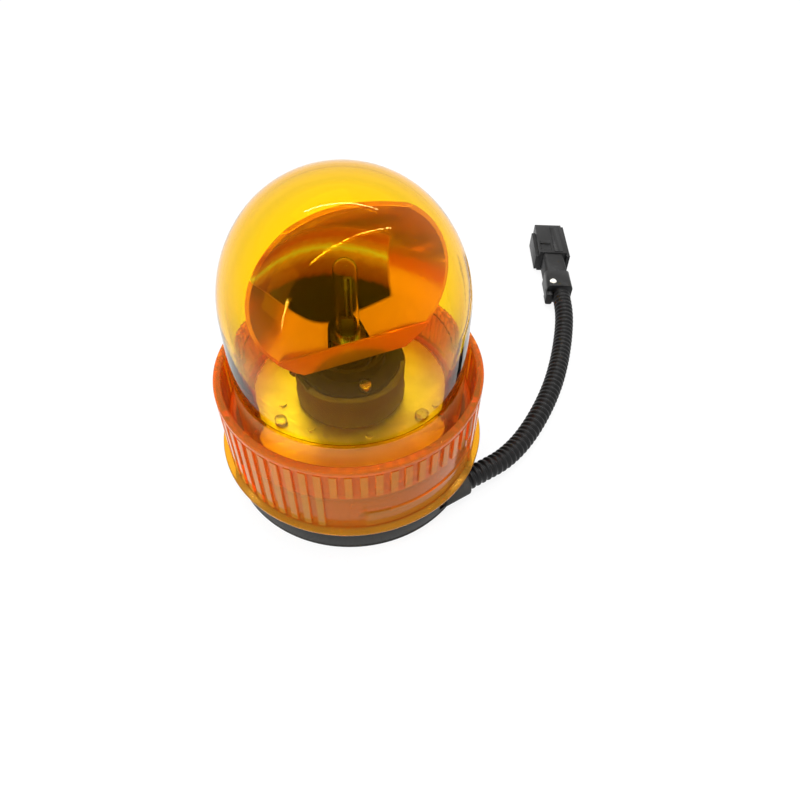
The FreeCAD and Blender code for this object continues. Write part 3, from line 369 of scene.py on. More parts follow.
# glass-filled nylon of the connector, and the smoother extruded nylon of the conduit
CONNECTOR_NYLON = moulded_plastic("connector_nylon", ("#0E0E0F", "#141415"), 0.38, 0.35, 0.03, dust=0.04)
CONDUIT_NYLON = moulded_plastic("conduit_nylon", ("#0A0A0B", "#101011"), 0.34, 0.6, 0.03, dust=0.03)
# pressed rubber: the roughest black, with a pale bloom
RUBBER = moulded_plastic("nitrile_rubber", ("#222221", "#2C2B29"), 0.72, 0.4, 0.05, dust=0.2)
# undyed nylon of the gears, waxy and off-white
WHITE_NYLON = moulded_plastic("natural_nylon", ("#E4E0D3", "#EFECE2"), 0.42, 0.5, 0.03)
# paper-filled phenolic, punched from brown sheet
PHENOLIC = moulded_plastic("pressed_phenolic", ("#5A3418", "#6B4222"), 0.45, 0.3, 0.04)
# terminal block, wire covering, dipped parts and the board under the deck
IVORY = moulded_plastic("ivory_polyamide", ("#D8CFB2", "#E2DBC2"), 0.4, 0.5, 0.03)
RED_PVC = moulded_plastic("red_pvc_insulation", ("#8E1512", "#A11D18"), 0.35, 0.5, 0.02)
BLUE_DIP = moulded_plastic("dipped_epoxy", ("#1D3C78", "#27498A"), 0.25, 0.8, 0.04)
BOARD_GREEN = moulded_plastic("epoxy_glass_board", ("#1E5A2E", "#276A38"), 0.35, 0.3, 0.03)
print("moulded finishes made, from", BASE_ABS.name, "to", BOARD_GREEN.name)

# %% [markdown]
# ## Amber polycarbonate
#
# The globe is injection-moulded polycarbonate, dyed through. A dyed plastic is light yellow where it
# is thin and orange where light has a long way in it, so the colour is an absorption in the volume,
# not a paint on the surface. The polish of the mould leaves it almost mirror smooth, with a faint
# waviness where the melt flowed, a few centimetres from crest to crest.
#
# One closed body with a volume keeps one material, so the collar can't have a second one. Its satin,
# its deeper dye and the painted light on the faces of its ribs come from the radius and the height of each
# point instead.


# %% Amber polycarbonate
# each pair is where a change begins and ends, as a radius or a height
TROUGH_FLOOR = (50.6 * MM, 51.6 * MM)  # radius: the dome's polish gives way to the collar's satin
RIB_FACES = (55.3 * MM, 55.9 * MM)  # radius: from the collar's wall out to the faces of its ribs
FOOT_STEP = (59.4 * MM, 59.6 * MM)  # height: below it the dome's wall is thicker
RIM_FOOT = (52.4 * MM, 53.2 * MM)  # height: above it the collar ends in its rim
MELT_WAVE = 18 * MM


def amber_polycarbonate():
    """Dyed clear plastic: polished on the dome, deeper in colour below the step where the wall is
    thicker, and satin on the collar, whose mould is grained for grip and scatters part of the light.
    The faces of the ribs are a lighter yellow: painted light on the raised faces."""
    made, tree = material("amber_polycarbonate")
    place = add(tree, "ShaderNodeTexCoord").outputs["Object"]
    height = add(tree, "ShaderNodeSeparateXYZ", (place,)).outputs["Z"]
    level = add(tree, "ShaderNodeVectorMath", (place, (1.0, 1.0, 0.0)), operation="MULTIPLY").outputs[0]
    reach = add(tree, "ShaderNodeVectorMath", (level,), operation="LENGTH").outputs["Value"]
    on_collar = add(tree, "ShaderNodeMapRange", (reach, *TROUGH_FLOOR, 0.0, 1.0)).outputs[0]
    painted_rib_light = add(tree, "ShaderNodeMapRange", (reach, *RIB_FACES, 0.0, 1.0)).outputs[0]
    on_foot = add(tree, "ShaderNodeMapRange", (height, *FOOT_STEP, 1.0, 0.0)).outputs[0]
    high_up = add(tree, "ShaderNodeMapRange", (height, *RIM_FOOT, 0.0, 1.0)).outputs[0]
    on_rim = add(tree, "ShaderNodeMath", (high_up, on_collar), operation="MULTIPLY").outputs[0]
    dyed = linear("#FFFFFF")
    # each share mixes in a colour: deeper on the foot and the collar, painted light on the rib faces, a
    # little lighter on the rim
    for share, dye in ((on_foot, "#FFCE8A"), (on_collar, "#FF9C38"), (painted_rib_light, "#FFC048"),
                       (on_rim, "#FFA848")):
        dyed = add(tree, "ShaderNodeMix", {"Factor": share, "A": dyed, "B": linear(dye)},
                   data_type="RGBA").outputs["Result"]
    collar_clear = add(tree, "ShaderNodeMapRange", (reach, *TROUGH_FLOOR, 1.0, 0.8)).outputs[0]
    foot_clear = add(tree, "ShaderNodeMapRange", (height, *FOOT_STEP, 0.85, 1.0)).outputs[0]
    clear = add(tree, "ShaderNodeMath", (collar_clear, foot_clear), operation="MINIMUM").outputs[0]
    flow = add(tree, "ShaderNodeTexNoise", {"Vector": place, "Scale": 1 / MELT_WAVE, "Detail": 1.0})
    wave = add(tree, "ShaderNodeBump", {"Height": flow.outputs["Fac"], "Strength": 0.12,
                                        "Distance": 0.25 * MM})
    satin = add(tree, "ShaderNodeMapRange", (reach, *TROUGH_FLOOR, 0.015, 0.12)).outputs[0]
    # 1.32, under the plastic's own 1.58, was matched: it bends and mirrors less
    shell = add(tree, "ShaderNodeBsdfPrincipled", {
        "Base Color": dyed, "Roughness": satin, "IOR": 1.32, "Transmission Weight": clear,
        "Specular Tint": linear("#FFB800"), "Normal": wave.outputs["Normal"]})
    dye = add(tree, "ShaderNodeVolumeAbsorption", {"Color": linear("#FFF700"), "Density": 1100.0})
    finish_surface(tree, shell, dye)
    return made


AMBER = amber_polycarbonate()
print("made", AMBER.name)

# %% [markdown]
# ## The globe
#
# One moulding holds the dome, a narrow trough round its foot and the ribbed collar that the hand
# turns. Its section is an open profile from the crown, down the outside, through the trough, over the
# collar's rim, round the lip at the bottom and back up the inside. Revolving it gives everything but
# the ribs, the raised strip and the lugs. Those are a change of radius with height and angle, so the
# rows of the collar are the ones whose radius is worked out from both.

# %% Globe profile
GLOBE_LOW, GLOBE_HIGH = (np.array(c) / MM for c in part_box("globe"))
LIP_RAD, LIP_LOW, DOME_TOP = GLOBE_HIGH[0], GLOBE_LOW[2], GLOBE_HIGH[2]
DOME_RAD, DOME_FOOT, SPRING, SHOULDER, WALL = 47.6, 48.2, 88.5, 54.6, 2.4
TROUGH_TOP, TROUGH_UNDER, STEP_Z, LIP_TOP = 35.0, 32.8, 59.5, 17.0
COLLAR_RAD, COLLAR_BORE, RIM_RAD, RIM_TOP, RIM_LOW = 55.0, 52.7, 56.0, 55.4, 53.0
# turns about +Z in degrees: the smooth panel, its raised strip, the ribs and the bayonet's lugs
PANEL_START, PANEL_END, STRIP_START, STRIP_END = -102.0, -30.0, -87.0, -28.0
RIB_PITCH, RIB_WIDTH, RIB_COUNT = 6.0, 3.07, 60
LUG_START, LUG_PITCH, LUG_SPAN, LUG_DEPTH, STRIP_PROUD = 30.5, 120.0, 14.0, 2.1, 0.6


def crown_arcs(wall, steps):
    """Dome from crown to spring line: a crown arc centred on the axis, then a flatter shoulder arc
    tangent to it and to the wall, both drawn wall thicknesses inside the outer surface."""
    height, lean = DOME_TOP - SPRING, SHOULDER - DOME_RAD
    crown = (SHOULDER ** 2 - lean ** 2 - height ** 2) / (2 * (SHOULDER - height))
    rise = height - crown
    join = math.atan2(rise, lean)
    top = np.linspace(np.pi / 2, join, steps)[1:]
    side = np.linspace(join, 0.0, steps)[1:]
    return np.concatenate([
        np.stack([(crown - wall) * np.cos(top), SPRING + rise + (crown - wall) * np.sin(top)], axis=1),
        np.stack([(SHOULDER - wall) * np.cos(side) - lean,
                  SPRING + (SHOULDER - wall) * np.sin(side)], axis=1)])


outside = crown_arcs(0.0, 28)
inside = crown_arcs(WALL, 28)[::-1]
trough = eased([(DOME_RAD, SPRING), (DOME_FOOT, TROUGH_TOP), (COLLAR_BORE, TROUGH_TOP),
                (COLLAR_BORE, RIM_TOP), (RIM_RAD, RIM_TOP), (RIM_RAD, RIM_LOW),
                (COLLAR_RAD, RIM_LOW - 0.5), (COLLAR_RAD, RIM_LOW - 0.7)],
               [0.7, 0.7, 0.7, 0.7, 0.2, 0.1], steps=4)
# heights of the ribbed wall, in pairs where a rib or the strip begins
collar_rows = np.array([52.2, 46.0, 39.2, 38.9, 33.0, 27.4, 26.8, 22.0, 18.4, 18.1])
collar = np.stack([np.full(len(collar_rows), COLLAR_RAD), collar_rows], axis=1)
lip = eased([(COLLAR_RAD, LIP_TOP + 1.0), (COLLAR_RAD, LIP_TOP), (LIP_RAD, LIP_TOP), (LIP_RAD, LIP_LOW),
             (COLLAR_BORE, LIP_LOW), (COLLAR_BORE, 22.5)], [0.3, 0.5, 0.5, 0.2], steps=3)
lug_rows = np.array([22.7, 25.4, 25.6, 30.0])
lugs = np.stack([np.full(len(lug_rows), COLLAR_BORE), lug_rows], axis=1)
inner_foot = DOME_FOOT - WALL
under = eased([(COLLAR_BORE, 31.0), (COLLAR_BORE, TROUGH_UNDER), (inner_foot - 0.4, TROUGH_UNDER),
               (inner_foot - 0.4, STEP_Z), (inner_foot - 0.15, STEP_Z + 0.5), (DOME_RAD - WALL, SPRING)],
              [0.4, 0.3, 0.15, 0.15], steps=3)[:-1]
sections = [outside[:-1], trough, collar, lip, lugs, under, inside]
profile = np.concatenate(sections)
first_collar = len(outside) - 1 + len(trough)
first_lug = first_collar + len(collar) + len(lip)
print("globe profile points", len(profile))

# %% Globe mesh
rib_edge, rib_middle, flank = RIB_WIDTH / 2, RIB_PITCH / 2, 0.1
across = np.array([0.0, rib_middle - rib_edge - flank, rib_middle - rib_edge + flank, 2.6, 3.4,
                   rib_middle + rib_edge - flank, rib_middle + rib_edge + flank, 5.3])
angles = (np.arange(RIB_COUNT)[:, None] * RIB_PITCH + across[None, :]).ravel() + PANEL_START
pitch_place = np.mod(angles - PANEL_START, RIB_PITCH)
on_rib = np.abs(pitch_place - rib_middle) < rib_edge
in_panel = angles < PANEL_END
on_strip = (angles > STRIP_START - flank) & (angles < STRIP_END)
on_lug = np.mod(angles - LUG_START, LUG_PITCH) < LUG_SPAN

radius = np.repeat(profile[:, 0][:, None], len(angles), axis=1)
height = np.repeat(profile[:, 1][:, None], len(angles), axis=1)
for row, z in enumerate(collar_rows, start=first_collar):
    # ribs stop above the lip, and over the panel they stop at its top edge
    ribbed = on_rib & (z > 18.2) & (~in_panel | (z > 39.0))
    radius[row] += np.where(ribbed, RIM_RAD - COLLAR_RAD, 0.0)
    radius[row] += np.where(on_strip & (z < 27.0), STRIP_PROUD, 0.0)
for row, z in enumerate(lug_rows, start=first_lug):
    radius[row] -= np.where(on_lug & (z < 25.5), LUG_DEPTH, 0.0)
theta = np.radians(angles)
grid = np.stack([radius * np.cos(theta), radius * np.sin(theta), height], axis=-1)
globe = capped_grid("globe_moulding", grid, (0, 0, DOME_TOP), (0, 0, DOME_TOP - WALL), crease=40.0)
globe.data.materials.append(AMBER)
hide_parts("globe")
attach(globe, "globe")
print("globe faces", len(globe.data.polygons))

# %% [markdown]
# ## The mirror
#
# A vacuum-metallised plastic bowl: a parabola turned about a level axis, clipped flat above and below
# so that it clears the dome, with a round hole for the lamp. In polar coordinates about that axis the
# parabola's depth is the square of the radius over four focal lengths. The clipping is a limit on the
# radius for each direction, found by formula, so the grid's last ring is the real edge. Under the
# lamp a flat apron closes the mouth in its own plane. The film is given part of a painted surface's
# scatter, so that it holds an even amber; a perfect mirror would show the dark pieces round it. The
# dull patch across the bowl is a painted reflection of the dark drum below, with its pale streak a
# painted highlight, drawn for its look alone: nothing else in this model makes it.


# %% Mirror material
FILM_TINT, FILM_METAL, PATCH_ROUGHNESS = linear("#FFA860"), 0.65, 0.42
# the painted reflection's patch, in millimetres: its low edge at side -4, how fast the edge rises to each
# side, its right edge, and the span of height over which its colours run and fade
PATCH_LOW, PATCH_MIDDLE, PATCH_RISE = (74.0, 75.2), 4.0, (0.042, 0.012)
PATCH_RIGHT, PATCH_SPAN, PATCH_FADE = (19.8, 21.0), (85.0, 118.0), (114.0, 119.0)
# colours of the painted reflection of the drum: black and dark brown below, a painted highlight in white,
# then orange
PAINTED_REFLECTION_COLOURS = ((0.0, "#0A0200"), (0.2, "#1C0600"), (0.25, "#8C3C2A"), (0.42, "#B86A52"),
                 (0.55, "#F0B49C"), (0.62, "#FFFFFF"), (0.7, "#F0A484"), (0.82, "#DC6C44"),
                 (1.0, "#E87C34"))


def painted_reflection_cover(tree, place, speckle):
    """Share of the painted reflection's patch at each point, and the slanted height that its colours
    follow. The low edge is a bow: the square of the sideways place, steeper on the one side than on the
    other."""
    height = add(tree, "ShaderNodeSeparateXYZ", (place,)).outputs["Z"]
    sideways = (-math.sin(MIRROR_TURN), math.cos(MIRROR_TURN), 0.0)
    side = add(tree, "ShaderNodeVectorMath", (place, sideways), operation="DOT_PRODUCT").outputs["Value"]
    along = add(tree, "ShaderNodeMath", (side, PATCH_MIDDLE * MM), operation="ADD").outputs[0]
    bow = 0.0
    for half, rise in zip(("MINIMUM", "MAXIMUM"), PATCH_RISE):
        part = add(tree, "ShaderNodeMath", (along, 0.0), operation=half).outputs[0]
        square = add(tree, "ShaderNodeMath", (part, 2.0), operation="POWER").outputs[0]
        raised = add(tree, "ShaderNodeMath", (square, rise / MM), operation="MULTIPLY").outputs[0]
        bow = add(tree, "ShaderNodeMath", (raised, bow), operation="ADD").outputs[0]
    drop = add(tree, "ShaderNodeMath", (height, bow), operation="SUBTRACT").outputs[0]
    lean = add(tree, "ShaderNodeMath", (side, 0.3), operation="MULTIPLY").outputs[0]
    slant = add(tree, "ShaderNodeMath", (height, lean), operation="ADD").outputs[0]
    fray = add(tree, "ShaderNodeMath", (speckle, 3 * MM), operation="MULTIPLY").outputs[0]
    ragged = add(tree, "ShaderNodeMath", (slant, fray), operation="ADD").outputs[0]
    cover = 1.0
    for value, (start, stop), first, last in ((drop, PATCH_LOW, 0.0, 1.0), (ragged, PATCH_FADE, 1.0, 0.0),
                                              (side, PATCH_RIGHT, 1.0, 0.0)):
        edge = add(tree, "ShaderNodeMapRange", (value, start * MM, stop * MM, first, last)).outputs[0]
        cover = add(tree, "ShaderNodeMath", (cover, edge), operation="MULTIPLY").outputs[0]
    return cover, ragged


def metallised_plastic(name, patched):
    """Aluminium film over moulded plastic: a soft mirror with the mould's slight waviness, warm from
    the dyed dome all round it. Where patched, a dull dark patch with a pale streak covers the middle
    of the bowl: a painted reflection of the drum below, its streak a painted highlight. It is paint,
    drawn for the look of it, in place of the mirror's own reflection."""
    made, tree = material(name)
    place = add(tree, "ShaderNodeTexCoord").outputs["Object"]
    sink = add(tree, "ShaderNodeTexNoise", {"Vector": place, "Scale": 1 / (14 * MM), "Detail": 2.0})
    wave = add(tree, "ShaderNodeBump", {"Height": sink.outputs["Fac"], "Strength": 0.3,
                                        "Distance": 0.3 * MM})
    dust = add(tree, "ShaderNodeTexNoise", {"Vector": place, "Scale": 1 / (3 * MM), "Detail": 6.0})
    speckle = dust.outputs["Fac"]
    rough = add(tree, "ShaderNodeValToRGB", (speckle,),
                stops=((0.4, grey(0.14)), (0.8, grey(0.22)))).outputs["Color"]
    film = {"Base Color": FILM_TINT, "Metallic": FILM_METAL, "Roughness": rough,
            "Normal": wave.outputs["Normal"]}
    if patched:
        # painted reflection of the drum, with a painted highlight, in place of the film's own mirror
        cover, ragged = painted_reflection_cover(tree, place, speckle)
        start, stop = PATCH_SPAN
        share = add(tree, "ShaderNodeMapRange", (ragged, start * MM, stop * MM, 0.0, 1.0)).outputs[0]
        reflection_paint = add(tree, "ShaderNodeValToRGB", (share,),
                     stops=[(position, linear(shade)) for position, shade in PAINTED_REFLECTION_COLOURS])
        loss = add(tree, "ShaderNodeMath", (cover, FILM_METAL), operation="MULTIPLY").outputs[0]
        film["Metallic"] = add(tree, "ShaderNodeMath", (FILM_METAL, loss), operation="SUBTRACT").outputs[0]
        film["Specular IOR Level"] = 0.1
        for socket, painted in (("Base Color", reflection_paint.outputs["Color"]),
                                ("Roughness", grey(PATCH_ROUGHNESS))):
            film[socket] = add(tree, "ShaderNodeMix", {"Factor": cover, "A": film[socket], "B": painted},
                               data_type="RGBA").outputs["Result"]
    finish_surface(tree, add(tree, "ShaderNodeBsdfPrincipled", film))
    return made


MIRROR = metallised_plastic("mirror_film_with_painted_reflection", True)
LIP_FILM = metallised_plastic("metallised_plastic", False)
print("made", MIRROR.name, "and", LIP_FILM.name)

# %% Mirror shape
FOCAL, FOCUS_Z, MOUTH_RAD, MIRROR_WALL, LAMP_HOLE = 15.0, 97.0, 37.2, 1.4, 8.4
MIRROR_LOW, MIRROR_HIGH, APRON_HIGH = 65.0, 128.5, 75.0
LIP_SIZE, LEVEL = 0.5, 1e-6  # the lip's width and depth, and a slope taken as level
RIM_OUT = MOUTH_RAD + 0.6 * MIRROR_WALL + LIP_SIZE
MOUTH_DEPTH = MOUTH_RAD ** 2 / (4 * FOCAL) - FOCAL


def mirror_edge(angle, rim):
    """Largest radius in each direction: the rim's circle, the two level clips, and the notch where
    the bowl meets the upright cylinder round the lamp. On that cylinder the square of the depth and
    of the sideways part add up to the square of the hole, which is a quadratic in the radius squared."""
    up, across = np.sin(angle), np.cos(angle)
    with np.errstate(divide="ignore", invalid="ignore"):
        upper = np.where(up > LEVEL, (MIRROR_HIGH - FOCUS_Z) / up, np.inf)
        lower = np.where(up < -LEVEL, (MIRROR_LOW - FOCUS_Z) / up, np.inf)
        a, b = 1 / (4 * FOCAL) ** 2, across ** 2 - 2 * FOCAL / (4 * FOCAL)
        c = FOCAL ** 2 - LAMP_HOLE ** 2
        inside_root = b ** 2 - 4 * a * c
        square = (-b - np.sqrt(np.maximum(inside_root, 0.0))) / (2 * a)
        notch = np.where((inside_root > 0) & (square > 0) & (up < 0),
                         np.sqrt(np.maximum(square, 0.0)), np.inf)
    return np.minimum.reduce([np.full_like(angle, rim), upper, lower, notch])


def headed(along, side, z):
    """Points from the bowl's own directions, along its level axis and sideways, turned to its heading."""
    along, side, z = np.broadcast_arrays(along, side, z)
    return np.stack([along * math.cos(MIRROR_TURN) - side * math.sin(MIRROR_TURN),
                     along * math.sin(MIRROR_TURN) + side * math.cos(MIRROR_TURN), z], axis=-1)


def mirror_points(radius, angle, behind):
    """Points of the bowl at a radius and direction about its level axis, set back along the normal."""
    slope = radius / (2 * FOCAL)
    length = np.sqrt(1 + slope ** 2)
    along = radius ** 2 / (4 * FOCAL) - FOCAL - behind / length
    out = radius + behind * slope / length
    return headed(along, out * np.cos(angle), FOCUS_Z + out * np.sin(angle))


print("mouth", round(MOUTH_DEPTH, 2), "mm in front of the focus, radius", MOUTH_RAD)

# %% Mirror bowl
BOWL_ROUND, BOWL_DEEP = 288, 56
around = np.linspace(0.0, 2 * np.pi, BOWL_ROUND, endpoint=False)
edge, rim = mirror_edge(around, MOUTH_RAD), mirror_edge(around, RIM_OUT)
share = np.sin(np.linspace(0.0, np.pi / 2, BOWL_DEEP)[1:])[:, None]
front = mirror_points(share * edge[None, :], around[None, :], 0.0)
depth = edge ** 2 / (4 * FOCAL) - FOCAL
lip_rows = [headed(depth - back, out * np.cos(around), FOCUS_Z + out * np.sin(around))[None]
            for back, out in ((0.0, rim - 0.12), (0.12, rim), (0.4, rim), (LIP_SIZE, rim - 0.1))]
back = mirror_points((share * edge[None, :])[::-1][::2], around[None, :], MIRROR_WALL)
grid = np.concatenate([front, *lip_rows, back])[:, ::-1]
bowl = capped_grid("mirror_bowl", grid, mirror_points(0.0, 0.0, 0.0),
                   mirror_points(0.0, 0.0, MIRROR_WALL), 40.0)
print("mirror faces", len(bowl.data.polygons))

# %% Mirror apron
# a plate as level loops: along its front face, round the edge, along its back, round the edge
APRON_ACROSS, APRON_FRONT, APRON_BACK, APRON_EDGE = 33, 0.7, -0.2, 0.12
apron_middle = (APRON_FRONT + APRON_BACK) / 2
levels = np.linspace(APRON_HIGH, MIRROR_LOW, 14)[:, None]
half = np.sqrt(RIM_OUT ** 2 - (FOCUS_Z - levels) ** 2)
spread, even = np.linspace(-1.0, 1.0, APRON_ACROSS), np.ones(APRON_ACROSS)
loop_side = np.concatenate([spread, [1.0], spread[::-1], [-1.0]])
loop_inset = np.concatenate([even * APRON_EDGE, [0.0], even * APRON_EDGE, [0.0]])
loop_along = np.concatenate([even * APRON_FRONT, [apron_middle], even * APRON_BACK, [apron_middle]])
grid = headed(MOUTH_DEPTH + loop_along[None, :], loop_side[None, :] * (half - loop_inset[None, :]), levels)
apron = capped_grid("mirror_apron", grid, headed(MOUTH_DEPTH + apron_middle, 0.0, APRON_HIGH),
                    headed(MOUTH_DEPTH + apron_middle, 0.0, MIRROR_LOW), 40.0)
print("apron faces", len(apron.data.polygons))

# %% [markdown]
# ## Skirt and flange under the mirror
#
# The bowl stands on a short tube whose top follows the bowl's back, and the tube has a flange that is
# screwed to the drum. The height of the tube's top is the height of the bowl's back over each point of
# the ring, so it is worked out from the same parabola.

# %% Skirt
SKIRT_IN, SKIRT_OUT, DRUM_TOP, FLANGE_HIGH, FLANGE_RAD = 13.2, 15.0, 58.0, 59.6, 21.4
FLANGE_EDGE, SKIRT_ROUND = 0.3, 120
turn_angle = np.linspace(0.0, 2 * np.pi, SKIRT_ROUND, endpoint=False)


def skirt_top(radius, angle):
    """Height at which an upright ring meets the bowl's back: from the parabola's depth, the radius
    about the level axis is known, and the height is that radius less the sideways part."""
    along, side = radius * np.cos(angle - MIRROR_TURN), radius * np.sin(angle - MIRROR_TURN)
    square = 4 * FOCAL * (along + FOCAL + 0.8) - side ** 2
    return np.clip(FOCUS_Z - np.sqrt(np.maximum(square, 0.0)), MIRROR_LOW - 0.1, FOCUS_Z - 8.0)


# radius and height of each ring; a ring without a height follows the bowl's back
ring_rows = [(SKIRT_IN, DRUM_TOP), (FLANGE_RAD, DRUM_TOP), (FLANGE_RAD, FLANGE_HIGH - FLANGE_EDGE),
             (FLANGE_RAD - FLANGE_EDGE, FLANGE_HIGH), (SKIRT_OUT, FLANGE_HIGH), (SKIRT_OUT, None),
             (SKIRT_IN, None)]
radii = np.array([r for r, _ in ring_rows])[:, None]
levels = np.stack([skirt_top(r, turn_angle) if z is None else np.full(SKIRT_ROUND, z)
                   for r, z in ring_rows])
levels[4] = np.minimum(levels[4], levels[5])
grid = np.stack([radii * np.cos(turn_angle), radii * np.sin(turn_angle), levels], axis=-1)
skirt = place_mesh("mirror_skirt", grid.reshape(-1, 3),
                   grid_faces(len(ring_rows), SKIRT_ROUND, wrap_rows=True))
for piece, finish, slot in ((bowl, MIRROR, "chrome_mirror"), (apron, LIP_FILM, "chrome_mirror"),
                            (skirt, BARE_FOOT, "black_abs")):
    piece.data.materials.append(finish)
    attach(piece, "rotor")
    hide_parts("reflector")
print("skirt faces", len(skirt.data.polygons))

# %% [markdown]
# ## Metals
#
# Every metal here is one recipe with the figures of its own making. Rolled or turned metal has fine
# marks that run one way, so the noise is stretched along the marks, and it changes the roughness more
# than the height. An image of scratches could do the same, but it would need a map on every piece.
# Such marks are far finer than a tenth of a millimetre; these are drawn coarser, so that they show.


# %% Metals
def worked_metal(name, colours, roughness, marks, cloud):
    """Metal with marks of a given size in x, y and z, and a cloudy drift of colour of another size."""
    made, tree = material(name)
    place = add(tree, "ShaderNodeTexCoord").outputs["Object"]
    squeezed = add(tree, "ShaderNodeMapping", {"Vector": place,
                                               "Scale": tuple(1 / (m * MM) for m in marks)})
    scratch = add(tree, "ShaderNodeTexNoise", {"Vector": squeezed.outputs[0], "Scale": 1.0,
                                               "Detail": 4.0}).outputs["Fac"]
    drift = add(tree, "ShaderNodeTexNoise", {"Vector": place, "Scale": 1 / (cloud * MM), "Detail": 3.0})
    colour = add(tree, "ShaderNodeValToRGB", (drift.outputs["Fac"],),
                 stops=((0.35, linear(colours[0])), (0.65, linear(colours[1])))).outputs["Color"]
    polish = add(tree, "ShaderNodeValToRGB", (scratch,),
                 stops=((0.3, grey(roughness - 0.08)), (0.7, grey(roughness + 0.1)))).outputs["Color"]
    marks_bump = add(tree, "ShaderNodeBump", {"Height": scratch, "Strength": 0.25,
                                              "Distance": 0.02 * MM})
    skin = add(tree, "ShaderNodeBsdfPrincipled", {"Base Color": colour, "Metallic": 1.0,
                                                  "Roughness": polish,
                                                  "Normal": marks_bump.outputs["Normal"]})
    finish_surface(tree, skin)
    return made


# rolled sheet with bright zinc plate: a soft, cloudy pale grey, its marks along one way
ZINC_SHEET = worked_metal("zinc_plated_sheet", ("#DEDCD2", "#ECEAE0"), 0.42, (9, 0.8, 9), 9.0)
# steel blackened in a salt bath: dark and dull, so that it sinks into the middle of the drum
BLACK_OXIDE = worked_metal("black_oxide_steel", ("#1A1614", "#26211E"), 0.5, (6, 6, 6), 5.0)
# screws, plated after rolling: small and brighter than the sheet
ZINC_SCREW = worked_metal("zinc_plated_screw", ("#B9BAB5", "#D2D2CC"), 0.28, (0.5, 0.5, 0.5), 2.0)
# brass from the lathe, with rings of turning marks
BRASS = worked_metal("turned_brass", ("#C39A4E", "#D6B368"), 0.25, (1.0, 1.0, 0.2), 4.0)
# drawn steel, nearly a mirror, with marks along its length
BRIGHT_STEEL = worked_metal("drawn_bright_steel", ("#B4B6B8", "#C6C8C9"), 0.22, (0.3, 0.3, 8.0), 5.0)
# pressed and sintered powder: porous and brown
BRONZE = worked_metal("sintered_bronze", ("#7A5A32", "#8C6A3E"), 0.5, (0.2, 0.2, 0.2), 1.5)
TUNGSTEN = worked_metal("drawn_tungsten", ("#6E6E70", "#7C7C7E"), 0.35, (0.2, 2.0, 0.2), 2.0)
print("metals made, from", ZINC_SHEET.name, "to", TUNGSTEN.name)

# %% [markdown]
# ## Lamp glass
#
# The lamp is a small capsule with a clear wall less than a millimetre thick. Its quartz is one
# Principled shader with full transmission, and a slight bump for the unevenness of a drawn tube. A
# mix of transparency and gloss would render faster, but it bends no light at all.


# %% Lamp glass
def fused_quartz():
    """Clear quartz of the lamp's capsule, with a slight ream in its surface."""
    made, tree = material("fused_quartz")
    place = add(tree, "ShaderNodeTexCoord").outputs["Object"]
    ream = add(tree, "ShaderNodeTexNoise", {"Vector": place, "Scale": 1 / (7 * MM), "Detail": 1.0})
    wave = add(tree, "ShaderNodeBump", {"Height": ream.outputs["Fac"], "Strength": 0.1,
                                        "Distance": 0.2 * MM})
    # 1.12 is far under the 1.46 of quartz: it makes the capsule fainter in front of the bowl
    glass = add(tree, "ShaderNodeBsdfPrincipled", {
        "Base Color": linear("#FFFFFF"), "Roughness": 0.0, "IOR": 1.12, "Transmission Weight": 1.0,
        "Normal": wave.outputs["Normal"]})
    finish_surface(tree, glass)
    return made


GLASS = fused_quartz()
print("made", GLASS.name)

# %% [markdown]
# ## The conduit
#
# Corrugated nylon tube, 10 mm across, with a ridge every 3 mm. Its line is a spline through loose
# control points, as a stiff tube lies on a table. A curve bevel can't carry ridges, so the tube is a
# mesh. The radius is a function of the length along the line, a wave with flattened tops, and each
# ring stands square to the line.

# %% Conduit line
GLAND_END = (47.583, -30.198, 8.0)
ROUTE = [GLAND_END, (57.2, -25.3, 8.0), (67.4, -19.3, 6.6), (76.6, -11.0, 5.4), (84.4, -2.1, 5.2),
         (91.4, 7.4, 5.2), (98.0, 17.6, 5.2), (104.3, 28.9, 5.2), (109.9, 40.9, 5.2), (115.0, 53.6, 5.2),
         (119.4, 66.3, 5.4), (122.6, 77.5, 6.2), (124.3, 87.5, 7.0), (125.4, 97.0, 7.0)]
RIDGE_RAD, VALLEY_RAD, RIDGE_PITCH = 5.0, 4.05, 3.0

line = bpy.data.curves.new("conduit_line", "CURVE")
line.dimensions, line.resolution_u = "3D", 24
spline = line.splines.new("NURBS")
spline.points.add(len(ROUTE) - 1)
spline.points.foreach_set("co", np.array([(x * MM, y * MM, z * MM, 1.0) for x, y, z in ROUTE]).ravel())
spline.order_u, spline.use_endpoint_u = 3, True
holder = bpy.data.objects.new("conduit_line", line)
bpy.context.scene.collection.objects.link(holder)
drawn = bpy.data.meshes.new_from_object(holder)
path = np.empty(len(drawn.vertices) * 3)
drawn.vertices.foreach_get("co", path)
path = path.reshape(-1, 3)
bpy.data.objects.remove(holder)
step = np.linalg.norm(np.diff(path, axis=0), axis=1)
travel = np.concatenate([[0.0], np.cumsum(step)])
print("conduit line", len(path), "points,", round(travel[-1] / MM, 1), "mm")

